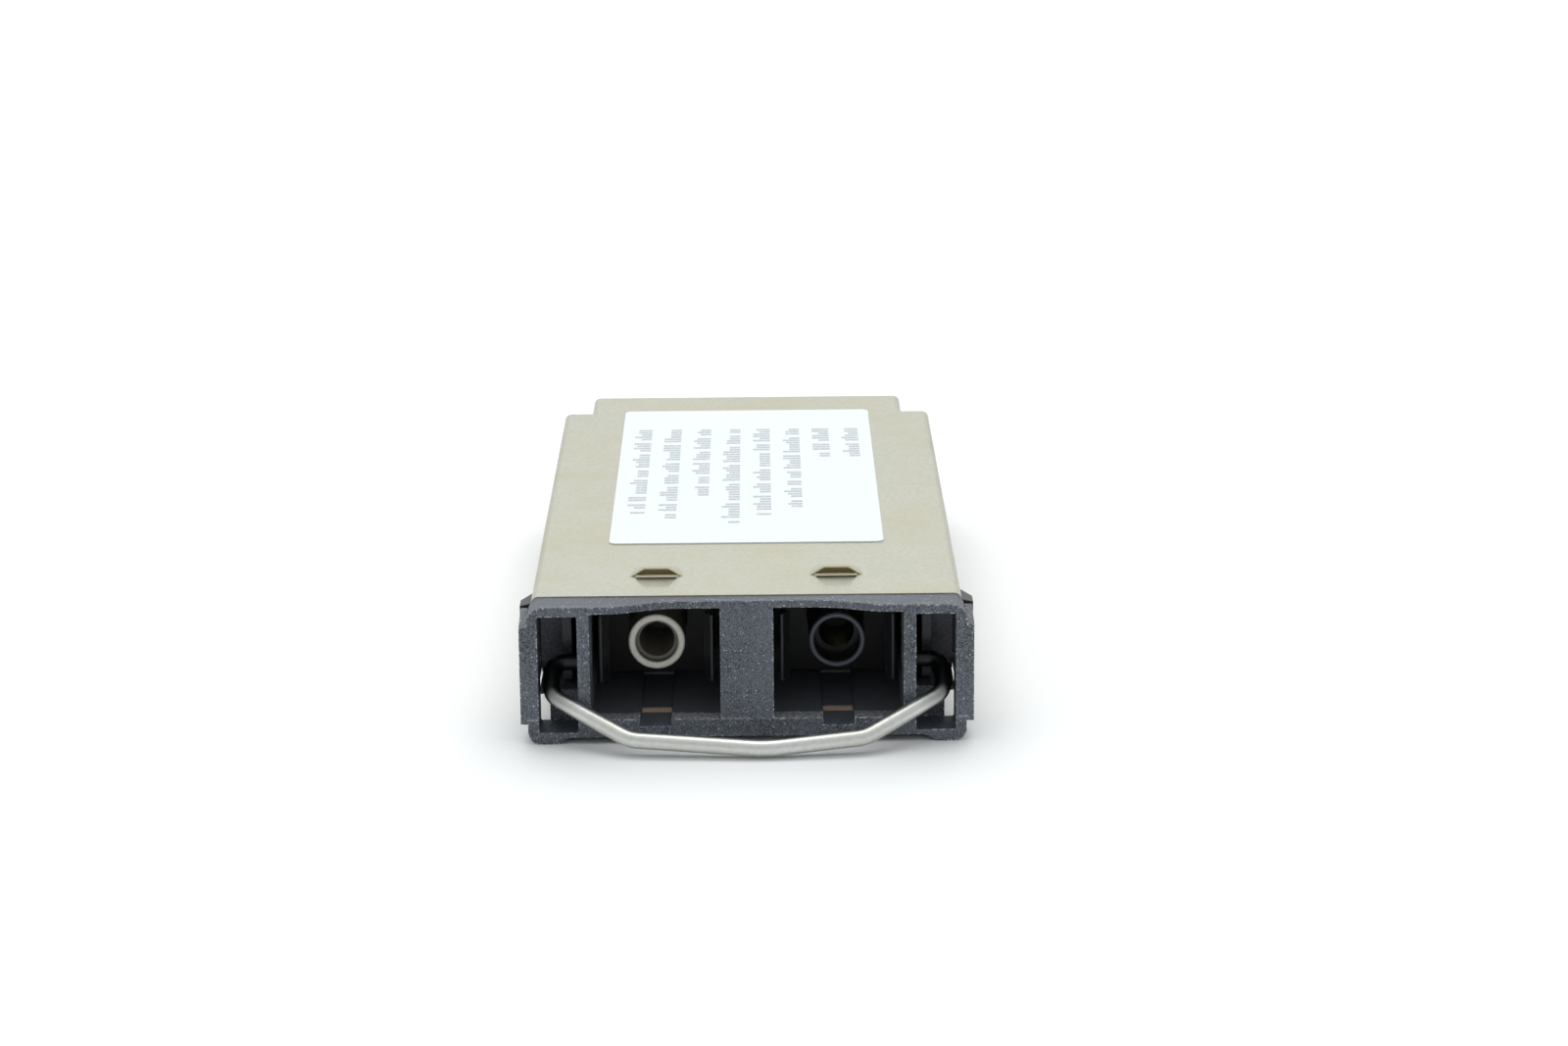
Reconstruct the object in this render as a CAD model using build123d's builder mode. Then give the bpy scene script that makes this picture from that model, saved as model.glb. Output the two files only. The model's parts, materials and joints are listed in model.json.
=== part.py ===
"""Pluggable duplex-SC optical transceiver module with a wire bail handle and two side latches.

Millimetres. +X is to the right of someone facing the ports, +Y runs from the ports back to the
edge connector, +Z is up. The origin is the centre of the module's footprint, on the surface that
it rests on. Depths are measured back from the front plane of the nose.
"""
from build123d import *
from math import cos, radians, sin
import os

# ---- driving sizes of the whole module -------------------------------------------------------
MODULE_LENGTH = 65.0            # nose front to the end of the edge connector
COVER_HALF_WIDTH = 15.0         # outside of the metal case
COVER_TOP = 9.81                # outside face of the top cover
SHEET = 0.4                     # thickness of both metal covers
PORT_PITCH = 12.7               # centre to centre of a duplex SC pair
PORT_X = PORT_PITCH / 2
PORT_WIDTH = 9.0
PORT_FLOOR = 1.77
PORT_CEILING = 9.37
OPTICAL_AXIS_Z = (PORT_FLOOR + PORT_CEILING) / 2
FERRULE_RADIUS = 1.25

# ---- bail handle -----------------------------------------------------------------------------
WIRE_RADIUS = 0.58
BAIL_REST_ANGLE = 35.0          # how far the loop hangs below level
PIVOT_DEPTH = 2.85
PIVOT_Z = 5.1
AXLE_END_X = 11.0
LEG_X = 13.6
LEG_REACH = 2.95                # pivot to the first bend, measured in the plane of the loop
SHOULDER_X = 8.1
SHOULDER_REACH = 6.8
TIP_X = 1.2
TIP_REACH = 7.7
ELBOW_RADIUS = 1.0
LEG_BEND_RADIUS = 1.6
SHOULDER_BEND_RADIUS = 2.4
TIP_BEND_RADIUS = 9.0
AXLE_CLEARANCE = 0.06

TIP_DEPTH = PIVOT_DEPTH - TIP_REACH * cos(radians(BAIL_REST_ANGLE)) - WIRE_RADIUS
NOSE_Y = -(MODULE_LENGTH + TIP_DEPTH) / 2

# ---- nose ------------------------------------------------------------------------------------
NOSE_DEPTH = 3.0
NOSE_HALF_WIDTH = 15.2
NOSE_TOP = 9.85
NOSE_BOTTOM = 0.48
BAND_TOP = 9.72                 # the strip between the front rim and the top cover
RIM_THICKNESS = 0.5
FOOT_INNER_X = 13.2
FOOT_BLEND = 0.9
TOP_CORNER_RADIUS = 1.2
FOOT_CORNER_RADIUS = 0.9
EAR_HALF_WIDTH = 15.7
EAR_BOTTOM = 1.47
EAR_TOP_FRONT = 8.4
EAR_TOP_BACK = 9.0
SLOT_INNER_X = 11.7
SLOT_OUTER_X = 14.45
SLOT_FLOOR = 0.83
SLOT_CEILING = 9.2
CHEEK_WALL_DEPTH = 4.2
TUNNEL_HALF_WIDTH = 11.4
TUNNEL_DEPTH = 14.3
TUNNEL_FLOOR = 1.45
TUNNEL_UNDERSIDE = 1.0
TUNNEL_TOP = 9.38
LIP_DEPTH = 1.44
KEY_WIDTH = 2.2
KEY_FLOOR = 1.25
PLUG_DEPTH = 6.0                # lower block that fills the front of the bottom cover
PLUG_HALF_WIDTH = 13.8
PLUG_TOP = 2.72
LEDGE_TOP = 3.05                # plastic ledge under each latch
LEDGE_HALF_WIDTH = 14.5
LEDGE_DEPTH = 19.0
SCOOP_DEPTH = 1.3               # finger scoop at the top of the front face
SCOOP_FLAT_X = 4.6
SCOOP_END_X = 10.4
STRIP_SLIT_FRONT = 3.9
STRIP_SLIT_BOTTOM = 0.76
STRIP_SLIT_TOP = 0.94
KEY_WINDOW_FRONT = 3.1          # opening in the key notch that shows the grounding strip
KEY_WINDOW_BACK = 4.25
EDGE_SOFTENING = 0.12
OVERSHOOT = 1.0                 # how far a cut runs past the material
SCOOP_MARGIN = 0.2

# ---- grounding strip under the ports ---------------------------------------------------------
STRIP_THICKNESS = 0.12
STRIP_Z = 0.79
STRIP_HALF_WIDTH = 11.0
STRIP_BACK = 8.6
STRIP_TAB_GAP = 0.05
FINGER_COUNT = 8
FINGER_WIDTH = 1.4

# ---- fibre-plug hooks and sleeve holders -----------------------------------------------------
HOOK_X = 3.83                   # centre of the port to the middle of a hook arm
HOOK_THICKNESS = 0.3
HOOK_HALF_HEIGHT = 2.4
HOOK_FRONT = 4.2
HOOK_NOSE_LENGTH = 1.6
HOOK_NOSE_BULGE = 0.35
INSERT_FRONT = 11.9
INSERT_BACK = 13.1
INSERT_GAP = 0.05
HOLDER_FRONT = 5.8
HOLDER_RADIUS = 2.0
TX_MOUTH_RADIUS = 1.5
RX_MOUTH_RADIUS = 1.62
TX_MOUTH_DEPTH = 0.7
RX_MOUTH_DEPTH = 2.5
SLEEVE_RADIUS = 1.6
SLEEVE_LENGTH = 6.5
SLEEVE_SLIT = 0.35
SLEEVE_GAP = 0.05
BORE_BACK = 13.2
FLANGE_RADIUS = 3.5
FLANGE_BACK = 14.3
BOSS_RADIUS = 3.0
BOSS_BACK = 16.3
CAN_POCKET_RADIUS = 2.4
CAN_CAP_RADIUS = 2.3
CAN_CAP_FRONT = 13.9
CAN_BASE_RADIUS = 2.8
CAN_BASE_THICKNESS = 1.1
LEAD_RADIUS = 0.22
LEAD_X = 0.9
LEAD_BACK = 22.3

# ---- clamp plate behind the ports ------------------------------------------------------------
CLAMP_BACK = 14.9
CLAMP_SCREW_Z = (2.9, 8.0)
SMALL_SCREW_RADIUS = 0.6
SMALL_HEAD_RADIUS = 1.1
SMALL_HEAD_HEIGHT = 0.7
SMALL_SCREW_LENGTH = 4.0
DRIVE_SLOT_SHARE = 1.2          # length of a drive slot, in head radii

# ---- metal covers ----------------------------------------------------------------------------
COVER_FRONT = 3.02
COVER_BACK = 61.5
NOTCH_DEPTH = 56.0              # the case narrows behind this
REAR_HALF_WIDTH = 12.8
FLANGE_BOTTOM = 3.1
COVER_BEND_RADIUS = 0.55
LANCE_SLIT = 7.75
LANCE_RAMP_FRONT = 4.95
LANCE_RAMP_FRONT_WIDTH = 1.7
LANCE_RAMP_BACK_WIDTH = 3.1
LANCE_RAMP_DROP = 0.15
LANCE_BASE_WIDTH = 4.4
LANCE_CREST_WIDTH = 1.8
LANCE_HEIGHT = 0.68
LANCE_BACK = 10.4
LANCE_OPENING_BACK = 8.85
LANCE_BACK_HEIGHT = 0.04
LANCE_WALL = 0.13
WINDOW_FRONT = 4.4
WINDOW_BACK = 10.7
WINDOW_BOTTOM = 4.1
WINDOW_TOP = 8.9
TRAY_FRONT = 6.0
TRAY_HALF_WIDTH = 13.8
TRAY_SHELF_BOTTOM = 2.6
TRAY_UPRIGHT_X = 14.5
TRAY_UPRIGHT_FRONT = 27.0
TRAY_TOP = 9.3
REAR_TRAY_HALF_WIDTH = 12.35

# ---- label -----------------------------------------------------------------------------------
LABEL_WIDTH = 20.0
LABEL_FRONT = 16.1
LABEL_BACK = 56.4
LABEL_THICKNESS = 0.1
LABEL_CORNER_RADIUS = 0.6

# ---- side latches ----------------------------------------------------------------------------
LATCH_PIN_X = 12.6
LATCH_PIN_DEPTH = 22.5
LATCH_PIN_RADIUS = 0.5
LATCH_PIN_BOTTOM = 1.6
LATCH_PIN_TOP = 9.3
PIN_CLEARANCE = 0.05
HUB_RADIUS = 1.2
HUB_TOP = 6.3
LATCH_BOTTOM = 3.35
LATCH_TOP = 8.95
ARM_INNER_X = 12.26
ARM_OUTER_X = 12.95
ARM_FRONT = 4.32
ARM_FULL_HEIGHT_BACK = 20.2
HEAD_OUTER_X = 14.5
HEAD_FRONT = 6.2
HEAD_BACK = 9.8
CATCH_TIP_X = 15.9
CATCH_FRONT = 5.2
CATCH_TIP_BACK = 6.6
CATCH_BOTTOM = 4.5
CATCH_TOP = 8.5
SPRING_WIRE_RADIUS = 0.15
SPRING_RADIUS = 0.85
SPRING_BOTTOM = 6.6
SPRING_PITCH = 0.42
SPRING_TURNS = 4
SPRING_LEG = 4.2

# ---- chassis frame ---------------------------------------------------------------------------
FRAME_BOTTOM = 0.5
FRAME_OUTER_X = 13.1
FRAME_INNER_X = 11.6
FRAME_FRONT = 19.2
FRAME_BACK = 54.8
YOKE_FRONT = 20.8
YOKE_POST_FRONT = 24.2
YOKE_POST_BACK = 26.0
YOKE_INNER_X = 11.2
YOKE_OUTER_X = 14.0
LOWER_LUG_TOP = 3.2
UPPER_LUG_BOTTOM = 8.6
CROSS_BAR = 1.6
BOSS_X = 9.0
SCREW_BOSS_RADIUS = 2.0
BOARD_SCREW_DEPTH = 49.0
COVER_SCREW_DEPTH = 33.0
SCREW_RADIUS = 0.8
SCREW_HEAD_RADIUS = 1.5
FLAT_HEAD_RADIUS = 1.2
SCREW_LENGTH = 3.6
HEAD_HEIGHT = 0.9
DRIVE_SLOT = 0.35
DRIVE_SLOT_DEPTH = 0.3

# ---- circuit board and its parts -------------------------------------------------------------
BOARD_THICKNESS = 1.0
BOARD_BOTTOM = OPTICAL_AXIS_Z - BOARD_THICKNESS / 2
BOARD_TOP = BOARD_BOTTOM + BOARD_THICKNESS
BOARD_FRONT = 19.8
BOARD_WAIST = 26.3
BOARD_WAIST_HALF_WIDTH = 10.9
BOARD_HALF_WIDTH = 13.0
BOARD_BACK = 55.0
CHIP_STANDOFF = 0.1
LEG_THICKNESS = 0.15
FLAT_CHIP_BODY = (4.4, 5.0, 1.0)    # width, length, height
TALL_CHIP_BODY = (3.9, 4.9, 1.4)
FINE_LEGS = (8, 0.6, 1.0)       # legs on a side, their pitch and their reach
COARSE_LEGS = (4, 1.27, 1.05)
FRONT_CHIP_X = 6.0
FRONT_CHIP_DEPTH = 27.0
MEMORY_CHIP_DEPTH = 38.0
SWITCH_CHIP_X = -2.5
SWITCH_CHIP_DEPTH = 47.0
CAPACITOR_SIZE = (1.6, 0.8, 0.8)
CAPACITOR_DEPTHS = (23.4, 31.8, 34.0, 42.5)
INDUCTOR_SIZE = (3.2, 2.5, 1.8)
INDUCTOR_X = 4.2
INDUCTOR_DEPTHS = (44.5, 48.5)

# ---- edge connector --------------------------------------------------------------------------
SHROUD_FRONT = 55.6
SHROUD_WALL_BACK = 57.6
SHROUD_HALF_WIDTH = 11.8
SHROUD_BOTTOM = 1.2
SHROUD_TOP = 8.8
SHROUD_WALL = 1.1
TONGUE_HALF_WIDTH = 8.2
TONGUE_THICKNESS = 1.3
TONGUE_BACK = 64.2
CONTACT_COUNT = 10              # on each face of the tongue
CONTACT_PITCH = 1.5
CONTACT_WIDTH = 0.7
CONTACT_THICKNESS = 0.15
CONTACT_SEAT_GAP = 0.01
CONTACT_FRONT = 53.4
CONTACT_BACK = 63.6

SIDES = (-1, 1)


def depth(distance):
    """Y of a place that lies `distance` behind the front plane of the nose."""
    return NOSE_Y + distance


def cross_plane(distance):
    """Upright plane across the module: local x is +X, local y is +Z. Extrude by -length to go back."""
    return Plane.XZ.offset(-depth(distance))


def block(x_span, depth_span, z_span, mode=Mode.ADD):
    """Add or cut the box between two X values, two depths and two heights."""
    middle = [sum(span) / 2 for span in (x_span, depth_span, z_span)]
    size = [high - low for low, high in (x_span, depth_span, z_span)]
    with Locations((middle[0], depth(middle[1]), middle[2])):
        Box(*size, mode=mode)


def both(side, near, far):
    """X span from `near` to `far` on one side of the middle, in rising order."""
    return tuple(sorted((side * near, side * far)))


def save(piece, name):
    """Label a finished piece and write its STEP file."""
    piece.label = name
    export_step(piece, f"parts/{name}.step")


os.makedirs("parts", exist_ok=True)


# ---- nose ------------------------------------------------------------------------------------
def scoop_outline(offset):
    """Plan outline of all that lies in front of the scooped face, moved back by `offset`."""
    edge = depth(offset)
    far = depth(-SCOOP_DEPTH - 2 * OVERSHOOT)
    wide = EAR_HALF_WIDTH + OVERSHOOT
    Polyline(
        (-SCOOP_END_X, edge),
        (-wide, edge),
        (-wide, far),
        (wide, far),
        (wide, edge),
        (SCOOP_END_X, edge),
    )
    Spline((-SCOOP_END_X, edge), (-SCOOP_FLAT_X, edge + SCOOP_DEPTH), tangents=((1, 0), (1, 0)))
    Line((-SCOOP_FLAT_X, edge + SCOOP_DEPTH), (SCOOP_FLAT_X, edge + SCOOP_DEPTH))
    Spline((SCOOP_FLAT_X, edge + SCOOP_DEPTH), (SCOOP_END_X, edge), tangents=((1, 0), (1, 0)))


with BuildPart() as nose_bezel:
    # front frame with its two feet
    with BuildSketch(cross_plane(0)) as frame_face:
        with BuildLine():
            Polyline(
                (0, NOSE_BOTTOM),
                (FOOT_INNER_X - FOOT_BLEND, NOSE_BOTTOM),
                (FOOT_INNER_X, 0),
                (NOSE_HALF_WIDTH, 0),
                (NOSE_HALF_WIDTH, NOSE_TOP),
                (0, NOSE_TOP),
                close=True,
            )
        make_face()
        mirror(about=Plane.YZ)
        fillet(frame_face.vertices().sort_by(Axis.Y)[-2:], TOP_CORNER_RADIUS)
        low_corners = frame_face.vertices().filter_by(lambda v: v.Y < NOSE_BOTTOM / 2)
        outer_feet = low_corners.filter_by(lambda v: abs(v.X) > FOOT_INNER_X + FOOT_BLEND)
        fillet(outer_feet, FOOT_CORNER_RADIUS)
    extrude(amount=-NOSE_DEPTH)

    # ears that guide the module into its slot
    for side in SIDES:
        with BuildSketch(Plane.YZ.offset(side * NOSE_HALF_WIDTH)):
            with BuildLine():
                Polyline(
                    (depth(0), EAR_BOTTOM),
                    (depth(NOSE_DEPTH), EAR_BOTTOM),
                    (depth(NOSE_DEPTH), EAR_TOP_BACK),
                    (depth(0), EAR_TOP_FRONT),
                    close=True,
                )
            make_face()
        extrude(amount=side * (EAR_HALF_WIDTH - NOSE_HALF_WIDTH))
        block(
            both(side, SLOT_OUTER_X, NOSE_HALF_WIDTH),
            (0, NOSE_DEPTH),
            (EAR_BOTTOM, EAR_TOP_FRONT),
        )

    # walls behind the frame: port tunnel, cheek walls, lower block and latch ledges
    block((-TUNNEL_HALF_WIDTH, TUNNEL_HALF_WIDTH), (0, TUNNEL_DEPTH), (TUNNEL_UNDERSIDE, TUNNEL_TOP))
    block((-SLOT_INNER_X, SLOT_INNER_X), (0, CHEEK_WALL_DEPTH), (TUNNEL_UNDERSIDE, TUNNEL_TOP))
    block((-PLUG_HALF_WIDTH, PLUG_HALF_WIDTH), (NOSE_DEPTH, PLUG_DEPTH), (0, PLUG_TOP))
    for side in SIDES:
        ledge_span = both(side, TUNNEL_HALF_WIDTH, LEDGE_HALF_WIDTH)
        rib_span = both(side, TUNNEL_HALF_WIDTH, FRAME_OUTER_X)
        block(ledge_span, (NOSE_DEPTH, LEDGE_DEPTH), (PLUG_TOP, LEDGE_TOP))
        block(rib_span, (PLUG_DEPTH, LEDGE_DEPTH), (TUNNEL_UNDERSIDE, PLUG_TOP))

    # slots in the cheeks, which the legs of the bail swing in
    with BuildSketch(cross_plane(0)):
        slot_x = (SLOT_INNER_X + SLOT_OUTER_X) / 2
        slot_z = (SLOT_FLOOR + SLOT_CEILING) / 2
        with Locations((-slot_x, slot_z), (slot_x, slot_z)):
            RectangleRounded(SLOT_OUTER_X - SLOT_INNER_X, SLOT_CEILING - SLOT_FLOOR, EDGE_SOFTENING)
    extrude(amount=-NOSE_DEPTH, mode=Mode.SUBTRACT)

    # ports: a lip and a key notch at the front of the floor, and behind the frame an open roof
    for side in SIDES:
        port_span = both(side, PORT_X - PORT_WIDTH / 2, PORT_X + PORT_WIDTH / 2)
        key_span = both(side, PORT_X - KEY_WIDTH / 2, PORT_X + KEY_WIDTH / 2)
        block(port_span, (0, NOSE_DEPTH), (PORT_FLOOR, PORT_CEILING), Mode.SUBTRACT)
        block(port_span, (NOSE_DEPTH, TUNNEL_DEPTH), (PORT_FLOOR, TUNNEL_TOP), Mode.SUBTRACT)
        block(port_span, (LIP_DEPTH, TUNNEL_DEPTH), (TUNNEL_FLOOR, PORT_FLOOR), Mode.SUBTRACT)
        block(key_span, (0, INSERT_FRONT), (KEY_FLOOR, PORT_FLOOR), Mode.SUBTRACT)
        block(key_span, (KEY_WINDOW_FRONT, KEY_WINDOW_BACK), (STRIP_SLIT_BOTTOM, KEY_FLOOR), Mode.SUBTRACT)
        with Locations(
            Plane(origin=(side * SLOT_INNER_X, depth(PIVOT_DEPTH), PIVOT_Z), z_dir=(side, 0, 0))
        ):
            Cylinder(
                WIRE_RADIUS + AXLE_CLEARANCE,
                2 * (SLOT_INNER_X - PORT_X - PORT_WIDTH / 2 + OVERSHOOT),
                mode=Mode.SUBTRACT,
            )

    # slit across the floor for the grounding strip
    block(
        (-STRIP_HALF_WIDTH - INSERT_GAP, STRIP_HALF_WIDTH + INSERT_GAP),
        (STRIP_SLIT_FRONT, PLUG_DEPTH),
        (STRIP_SLIT_BOTTOM, STRIP_SLIT_TOP),
        Mode.SUBTRACT,
    )

    # screw holes in the post between the ports
    for height in CLAMP_SCREW_Z:
        with Locations(Plane(origin=(0, depth(TUNNEL_DEPTH), height), z_dir=(0, 1, 0))):
            Cylinder(
                SMALL_SCREW_RADIUS,
                SMALL_SCREW_LENGTH,
                align=(Align.CENTER, Align.CENTER, Align.MAX),
                mode=Mode.SUBTRACT,
            )

    # finger scoop: the front face leans back towards the top, most of all in the middle
    scoop_fall = Vector(0, -SCOOP_DEPTH, PORT_FLOOR - NOSE_TOP)
    scoop_share = SCOOP_MARGIN / (NOSE_TOP - PORT_FLOOR)
    with BuildSketch(Plane.XY.offset(NOSE_TOP + SCOOP_MARGIN)):
        with BuildLine():
            scoop_outline(scoop_share * SCOOP_DEPTH)
        make_face()
    extrude(amount=(1 + scoop_share) * scoop_fall.length, dir=scoop_fall, mode=Mode.SUBTRACT)

    # the band behind the rim is a little lower than the rim
    with BuildSketch(Plane.XY.offset(BAND_TOP)):
        with Locations((0, depth(NOSE_DEPTH / 2))):
            Rectangle(2 * EAR_HALF_WIDTH, NOSE_DEPTH)
        with BuildLine():
            scoop_outline(RIM_THICKNESS)
        make_face(mode=Mode.SUBTRACT)
    extrude(amount=NOSE_TOP - BAND_TOP, mode=Mode.SUBTRACT)
save(nose_bezel.part, "nose_bezel")


# ---- grounding strip -------------------------------------------------------------------------
with BuildPart() as ground_strip:
    block(
        (-STRIP_HALF_WIDTH, STRIP_HALF_WIDTH),
        (STRIP_SLIT_FRONT + INSERT_GAP, PLUG_DEPTH),
        (STRIP_Z, STRIP_Z + STRIP_THICKNESS),
    )
    # a tab stands up into each key window
    tab_back = KEY_WINDOW_BACK - STRIP_TAB_GAP
    tab_top = KEY_FLOOR - STRIP_TAB_GAP
    for side in SIDES:
        tab_half_width = KEY_WIDTH / 2 - STRIP_TAB_GAP
        tab_span = both(side, PORT_X - tab_half_width, PORT_X + tab_half_width)
        block(tab_span, (tab_back - STRIP_THICKNESS, tab_back), (STRIP_Z, tab_top))
        block(tab_span, (KEY_WINDOW_FRONT + STRIP_TAB_GAP, tab_back), (tab_top - STRIP_THICKNESS, tab_top))
    # springy fingers reach down to the bottom cover
    finger_pitch = 2 * STRIP_HALF_WIDTH / FINGER_COUNT
    with BuildSketch(Plane.YZ.offset(-FINGER_WIDTH / 2)) as finger_side:
        with BuildLine():
            Polyline(
                (depth(PLUG_DEPTH), STRIP_Z),
                (depth(PLUG_DEPTH), STRIP_Z + STRIP_THICKNESS),
                (depth(STRIP_BACK), SHEET + STRIP_THICKNESS),
                (depth(STRIP_BACK), SHEET),
                close=True,
            )
        make_face()
    for index in range(FINGER_COUNT):
        finger_x = (index - (FINGER_COUNT - 1) / 2) * finger_pitch
        extrude(Pos(finger_x, 0, 0) * finger_side.sketch, amount=FINGER_WIDTH)
save(ground_strip.part, "ground_strip")


# ---- fibre ports -----------------------------------------------------------------------------
def optical_plane(side, distance):
    """Plane across the optical axis of one port, facing backwards."""
    return Plane(origin=(side * PORT_X, depth(distance), OPTICAL_AXIS_Z), z_dir=(0, 1, 0))


def tube(side, front, back, radius, mode=Mode.ADD):
    """Add or cut a round length on the optical axis of one port."""
    with Locations(optical_plane(side, front)):
        Cylinder(radius, back - front, align=(Align.CENTER, Align.CENTER, Align.MIN), mode=mode)


def hook_insert(side):
    """Plate that closes the back of a port, with two arms that hold the fibre plug."""
    half_width = PORT_WIDTH / 2 - INSERT_GAP
    with BuildPart() as insert:
        block(
            (side * PORT_X - half_width, side * PORT_X + half_width),
            (INSERT_FRONT, INSERT_BACK),
            (TUNNEL_FLOOR + INSERT_GAP, PORT_CEILING - INSERT_GAP),
        )
        for edge in SIDES:
            arm_x = side * PORT_X + edge * HOOK_X
            inner_x = arm_x - edge * HOOK_THICKNESS / 2
            outer_x = arm_x + edge * HOOK_THICKNESS / 2
            with BuildSketch(Plane.XY.offset(OPTICAL_AXIS_Z - HOOK_HALF_HEIGHT)):
                with BuildLine():
                    Polyline(
                        (outer_x, depth(INSERT_FRONT)),
                        (outer_x, depth(HOOK_FRONT)),
                        (arm_x, depth(HOOK_FRONT)),
                        (inner_x - edge * HOOK_NOSE_BULGE, depth(HOOK_FRONT + HOOK_NOSE_LENGTH / 2)),
                        (inner_x, depth(HOOK_FRONT + HOOK_NOSE_LENGTH)),
                        (inner_x, depth(INSERT_FRONT)),
                        close=True,
                    )
                make_face()
            extrude(amount=2 * HOOK_HALF_HEIGHT)
        tube(side, INSERT_FRONT, INSERT_BACK, HOLDER_RADIUS + INSERT_GAP, Mode.SUBTRACT)
    return insert.part


def sleeve_holder(side, mouth_radius, mouth_depth, bore_radius):
    """Barrel that stands in a port, with a flange to clamp it and a pocket for its can."""
    with BuildPart() as holder:
        tube(side, HOLDER_FRONT, INSERT_BACK, HOLDER_RADIUS)
        tube(side, INSERT_BACK, FLANGE_BACK, FLANGE_RADIUS)
        tube(side, FLANGE_BACK, BOSS_BACK, BOSS_RADIUS)
        tube(side, HOLDER_FRONT, HOLDER_FRONT + mouth_depth, mouth_radius, Mode.SUBTRACT)
        tube(side, HOLDER_FRONT + mouth_depth, BORE_BACK, bore_radius, Mode.SUBTRACT)
        tube(side, CAN_CAP_FRONT - INSERT_GAP, BOSS_BACK, CAN_POCKET_RADIUS, Mode.SUBTRACT)
        tube(side, BORE_BACK, CAN_CAP_FRONT, FERRULE_RADIUS / 2, Mode.SUBTRACT)
        mouth_edges = holder.edges().filter_by(GeomType.CIRCLE).group_by(Axis.Y)[0]
        chamfer(mouth_edges, EDGE_SOFTENING)
    return holder.part


def optical_can(side):
    """Metal can that holds the laser or the photodiode."""
    with BuildPart() as can:
        tube(side, CAN_CAP_FRONT, BOSS_BACK, CAN_CAP_RADIUS)
        tube(side, BOSS_BACK, BOSS_BACK + CAN_BASE_THICKNESS, CAN_BASE_RADIUS)
        fillet(can.edges().filter_by(GeomType.CIRCLE).group_by(Axis.Y)[0], EDGE_SOFTENING)
    return can.part


def can_leads(side):
    """Four wires from a can: two land on top of the board and two below it."""
    lead_z = BOARD_THICKNESS / 2 + LEAD_RADIUS
    lead_front = BOSS_BACK + CAN_BASE_THICKNESS
    with BuildPart() as leads:
        with BuildSketch(optical_plane(side, lead_front)):
            with GridLocations(2 * LEAD_X, 2 * lead_z, 2, 2):
                Circle(LEAD_RADIUS)
        extrude(amount=LEAD_BACK - lead_front)
    return leads.part


with BuildPart() as tx_alignment_sleeve:
    sleeve_front = HOLDER_FRONT + TX_MOUTH_DEPTH
    tube(-1, sleeve_front, sleeve_front + SLEEVE_LENGTH, SLEEVE_RADIUS)
    tube(-1, HOLDER_FRONT, BORE_BACK, FERRULE_RADIUS, Mode.SUBTRACT)
    block(
        (-PORT_X - SLEEVE_SLIT / 2, -PORT_X + SLEEVE_SLIT / 2),
        (HOLDER_FRONT, BORE_BACK),
        (OPTICAL_AXIS_Z, OPTICAL_AXIS_Z + 2 * SLEEVE_RADIUS),
        Mode.SUBTRACT,
    )
save(tx_alignment_sleeve.part, "tx_alignment_sleeve")
save(hook_insert(-1), "tx_port_hooks")
save(hook_insert(1), "rx_port_hooks")
tx_holder = sleeve_holder(-1, TX_MOUTH_RADIUS, TX_MOUTH_DEPTH, SLEEVE_RADIUS + SLEEVE_GAP)
rx_holder = sleeve_holder(1, RX_MOUTH_RADIUS, RX_MOUTH_DEPTH, FERRULE_RADIUS)
save(tx_holder, "tx_sleeve_holder")
save(rx_holder, "rx_sleeve_holder")
save(optical_can(-1), "laser_can")
save(optical_can(1), "receiver_can")
save(can_leads(-1), "laser_leads")
save(can_leads(1), "receiver_leads")


# ---- clamp plate and its screws --------------------------------------------------------------
with BuildPart() as clamp_plate:
    roof_width = (-TUNNEL_HALF_WIDTH, TUNNEL_HALF_WIDTH)
    block(roof_width, (TUNNEL_DEPTH, CLAMP_BACK), (TUNNEL_UNDERSIDE, TUNNEL_TOP))
    for side in SIDES:
        tube(side, TUNNEL_DEPTH, CLAMP_BACK, BOSS_RADIUS + INSERT_GAP, Mode.SUBTRACT)
    for height in CLAMP_SCREW_Z:
        with Locations(Plane(origin=(0, depth(TUNNEL_DEPTH), height), z_dir=(0, 1, 0))):
            Cylinder(
                SMALL_SCREW_RADIUS,
                2 * (CLAMP_BACK - TUNNEL_DEPTH),
                mode=Mode.SUBTRACT,
            )
save(clamp_plate.part, "clamp_plate")


def screw(head_plane, shank_radius, shank_length, head_radius, head_height):
    """Pan-head screw: the shank runs along -z of the plane from under the head."""
    with Locations(head_plane):
        Cylinder(shank_radius, shank_length, align=(Align.CENTER, Align.CENTER, Align.MAX))
        Cylinder(head_radius, head_height, align=(Align.CENTER, Align.CENTER, Align.MIN))
    with Locations(head_plane.offset(head_height)):
        slot_length = DRIVE_SLOT_SHARE * head_radius
        for length, width in ((slot_length, DRIVE_SLOT), (DRIVE_SLOT, slot_length)):
            Box(
                length,
                width,
                DRIVE_SLOT_DEPTH,
                align=(Align.CENTER, Align.CENTER, Align.MAX),
                mode=Mode.SUBTRACT,
            )


with BuildPart() as clamp_screws:
    for height in CLAMP_SCREW_Z:
        screw(
            Plane(origin=(0, depth(CLAMP_BACK), height), z_dir=(0, 1, 0)),
            SMALL_SCREW_RADIUS,
            SMALL_SCREW_LENGTH,
            SMALL_HEAD_RADIUS,
            SMALL_HEAD_HEIGHT,
        )
save(clamp_screws.part, "clamp_screws")


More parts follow.
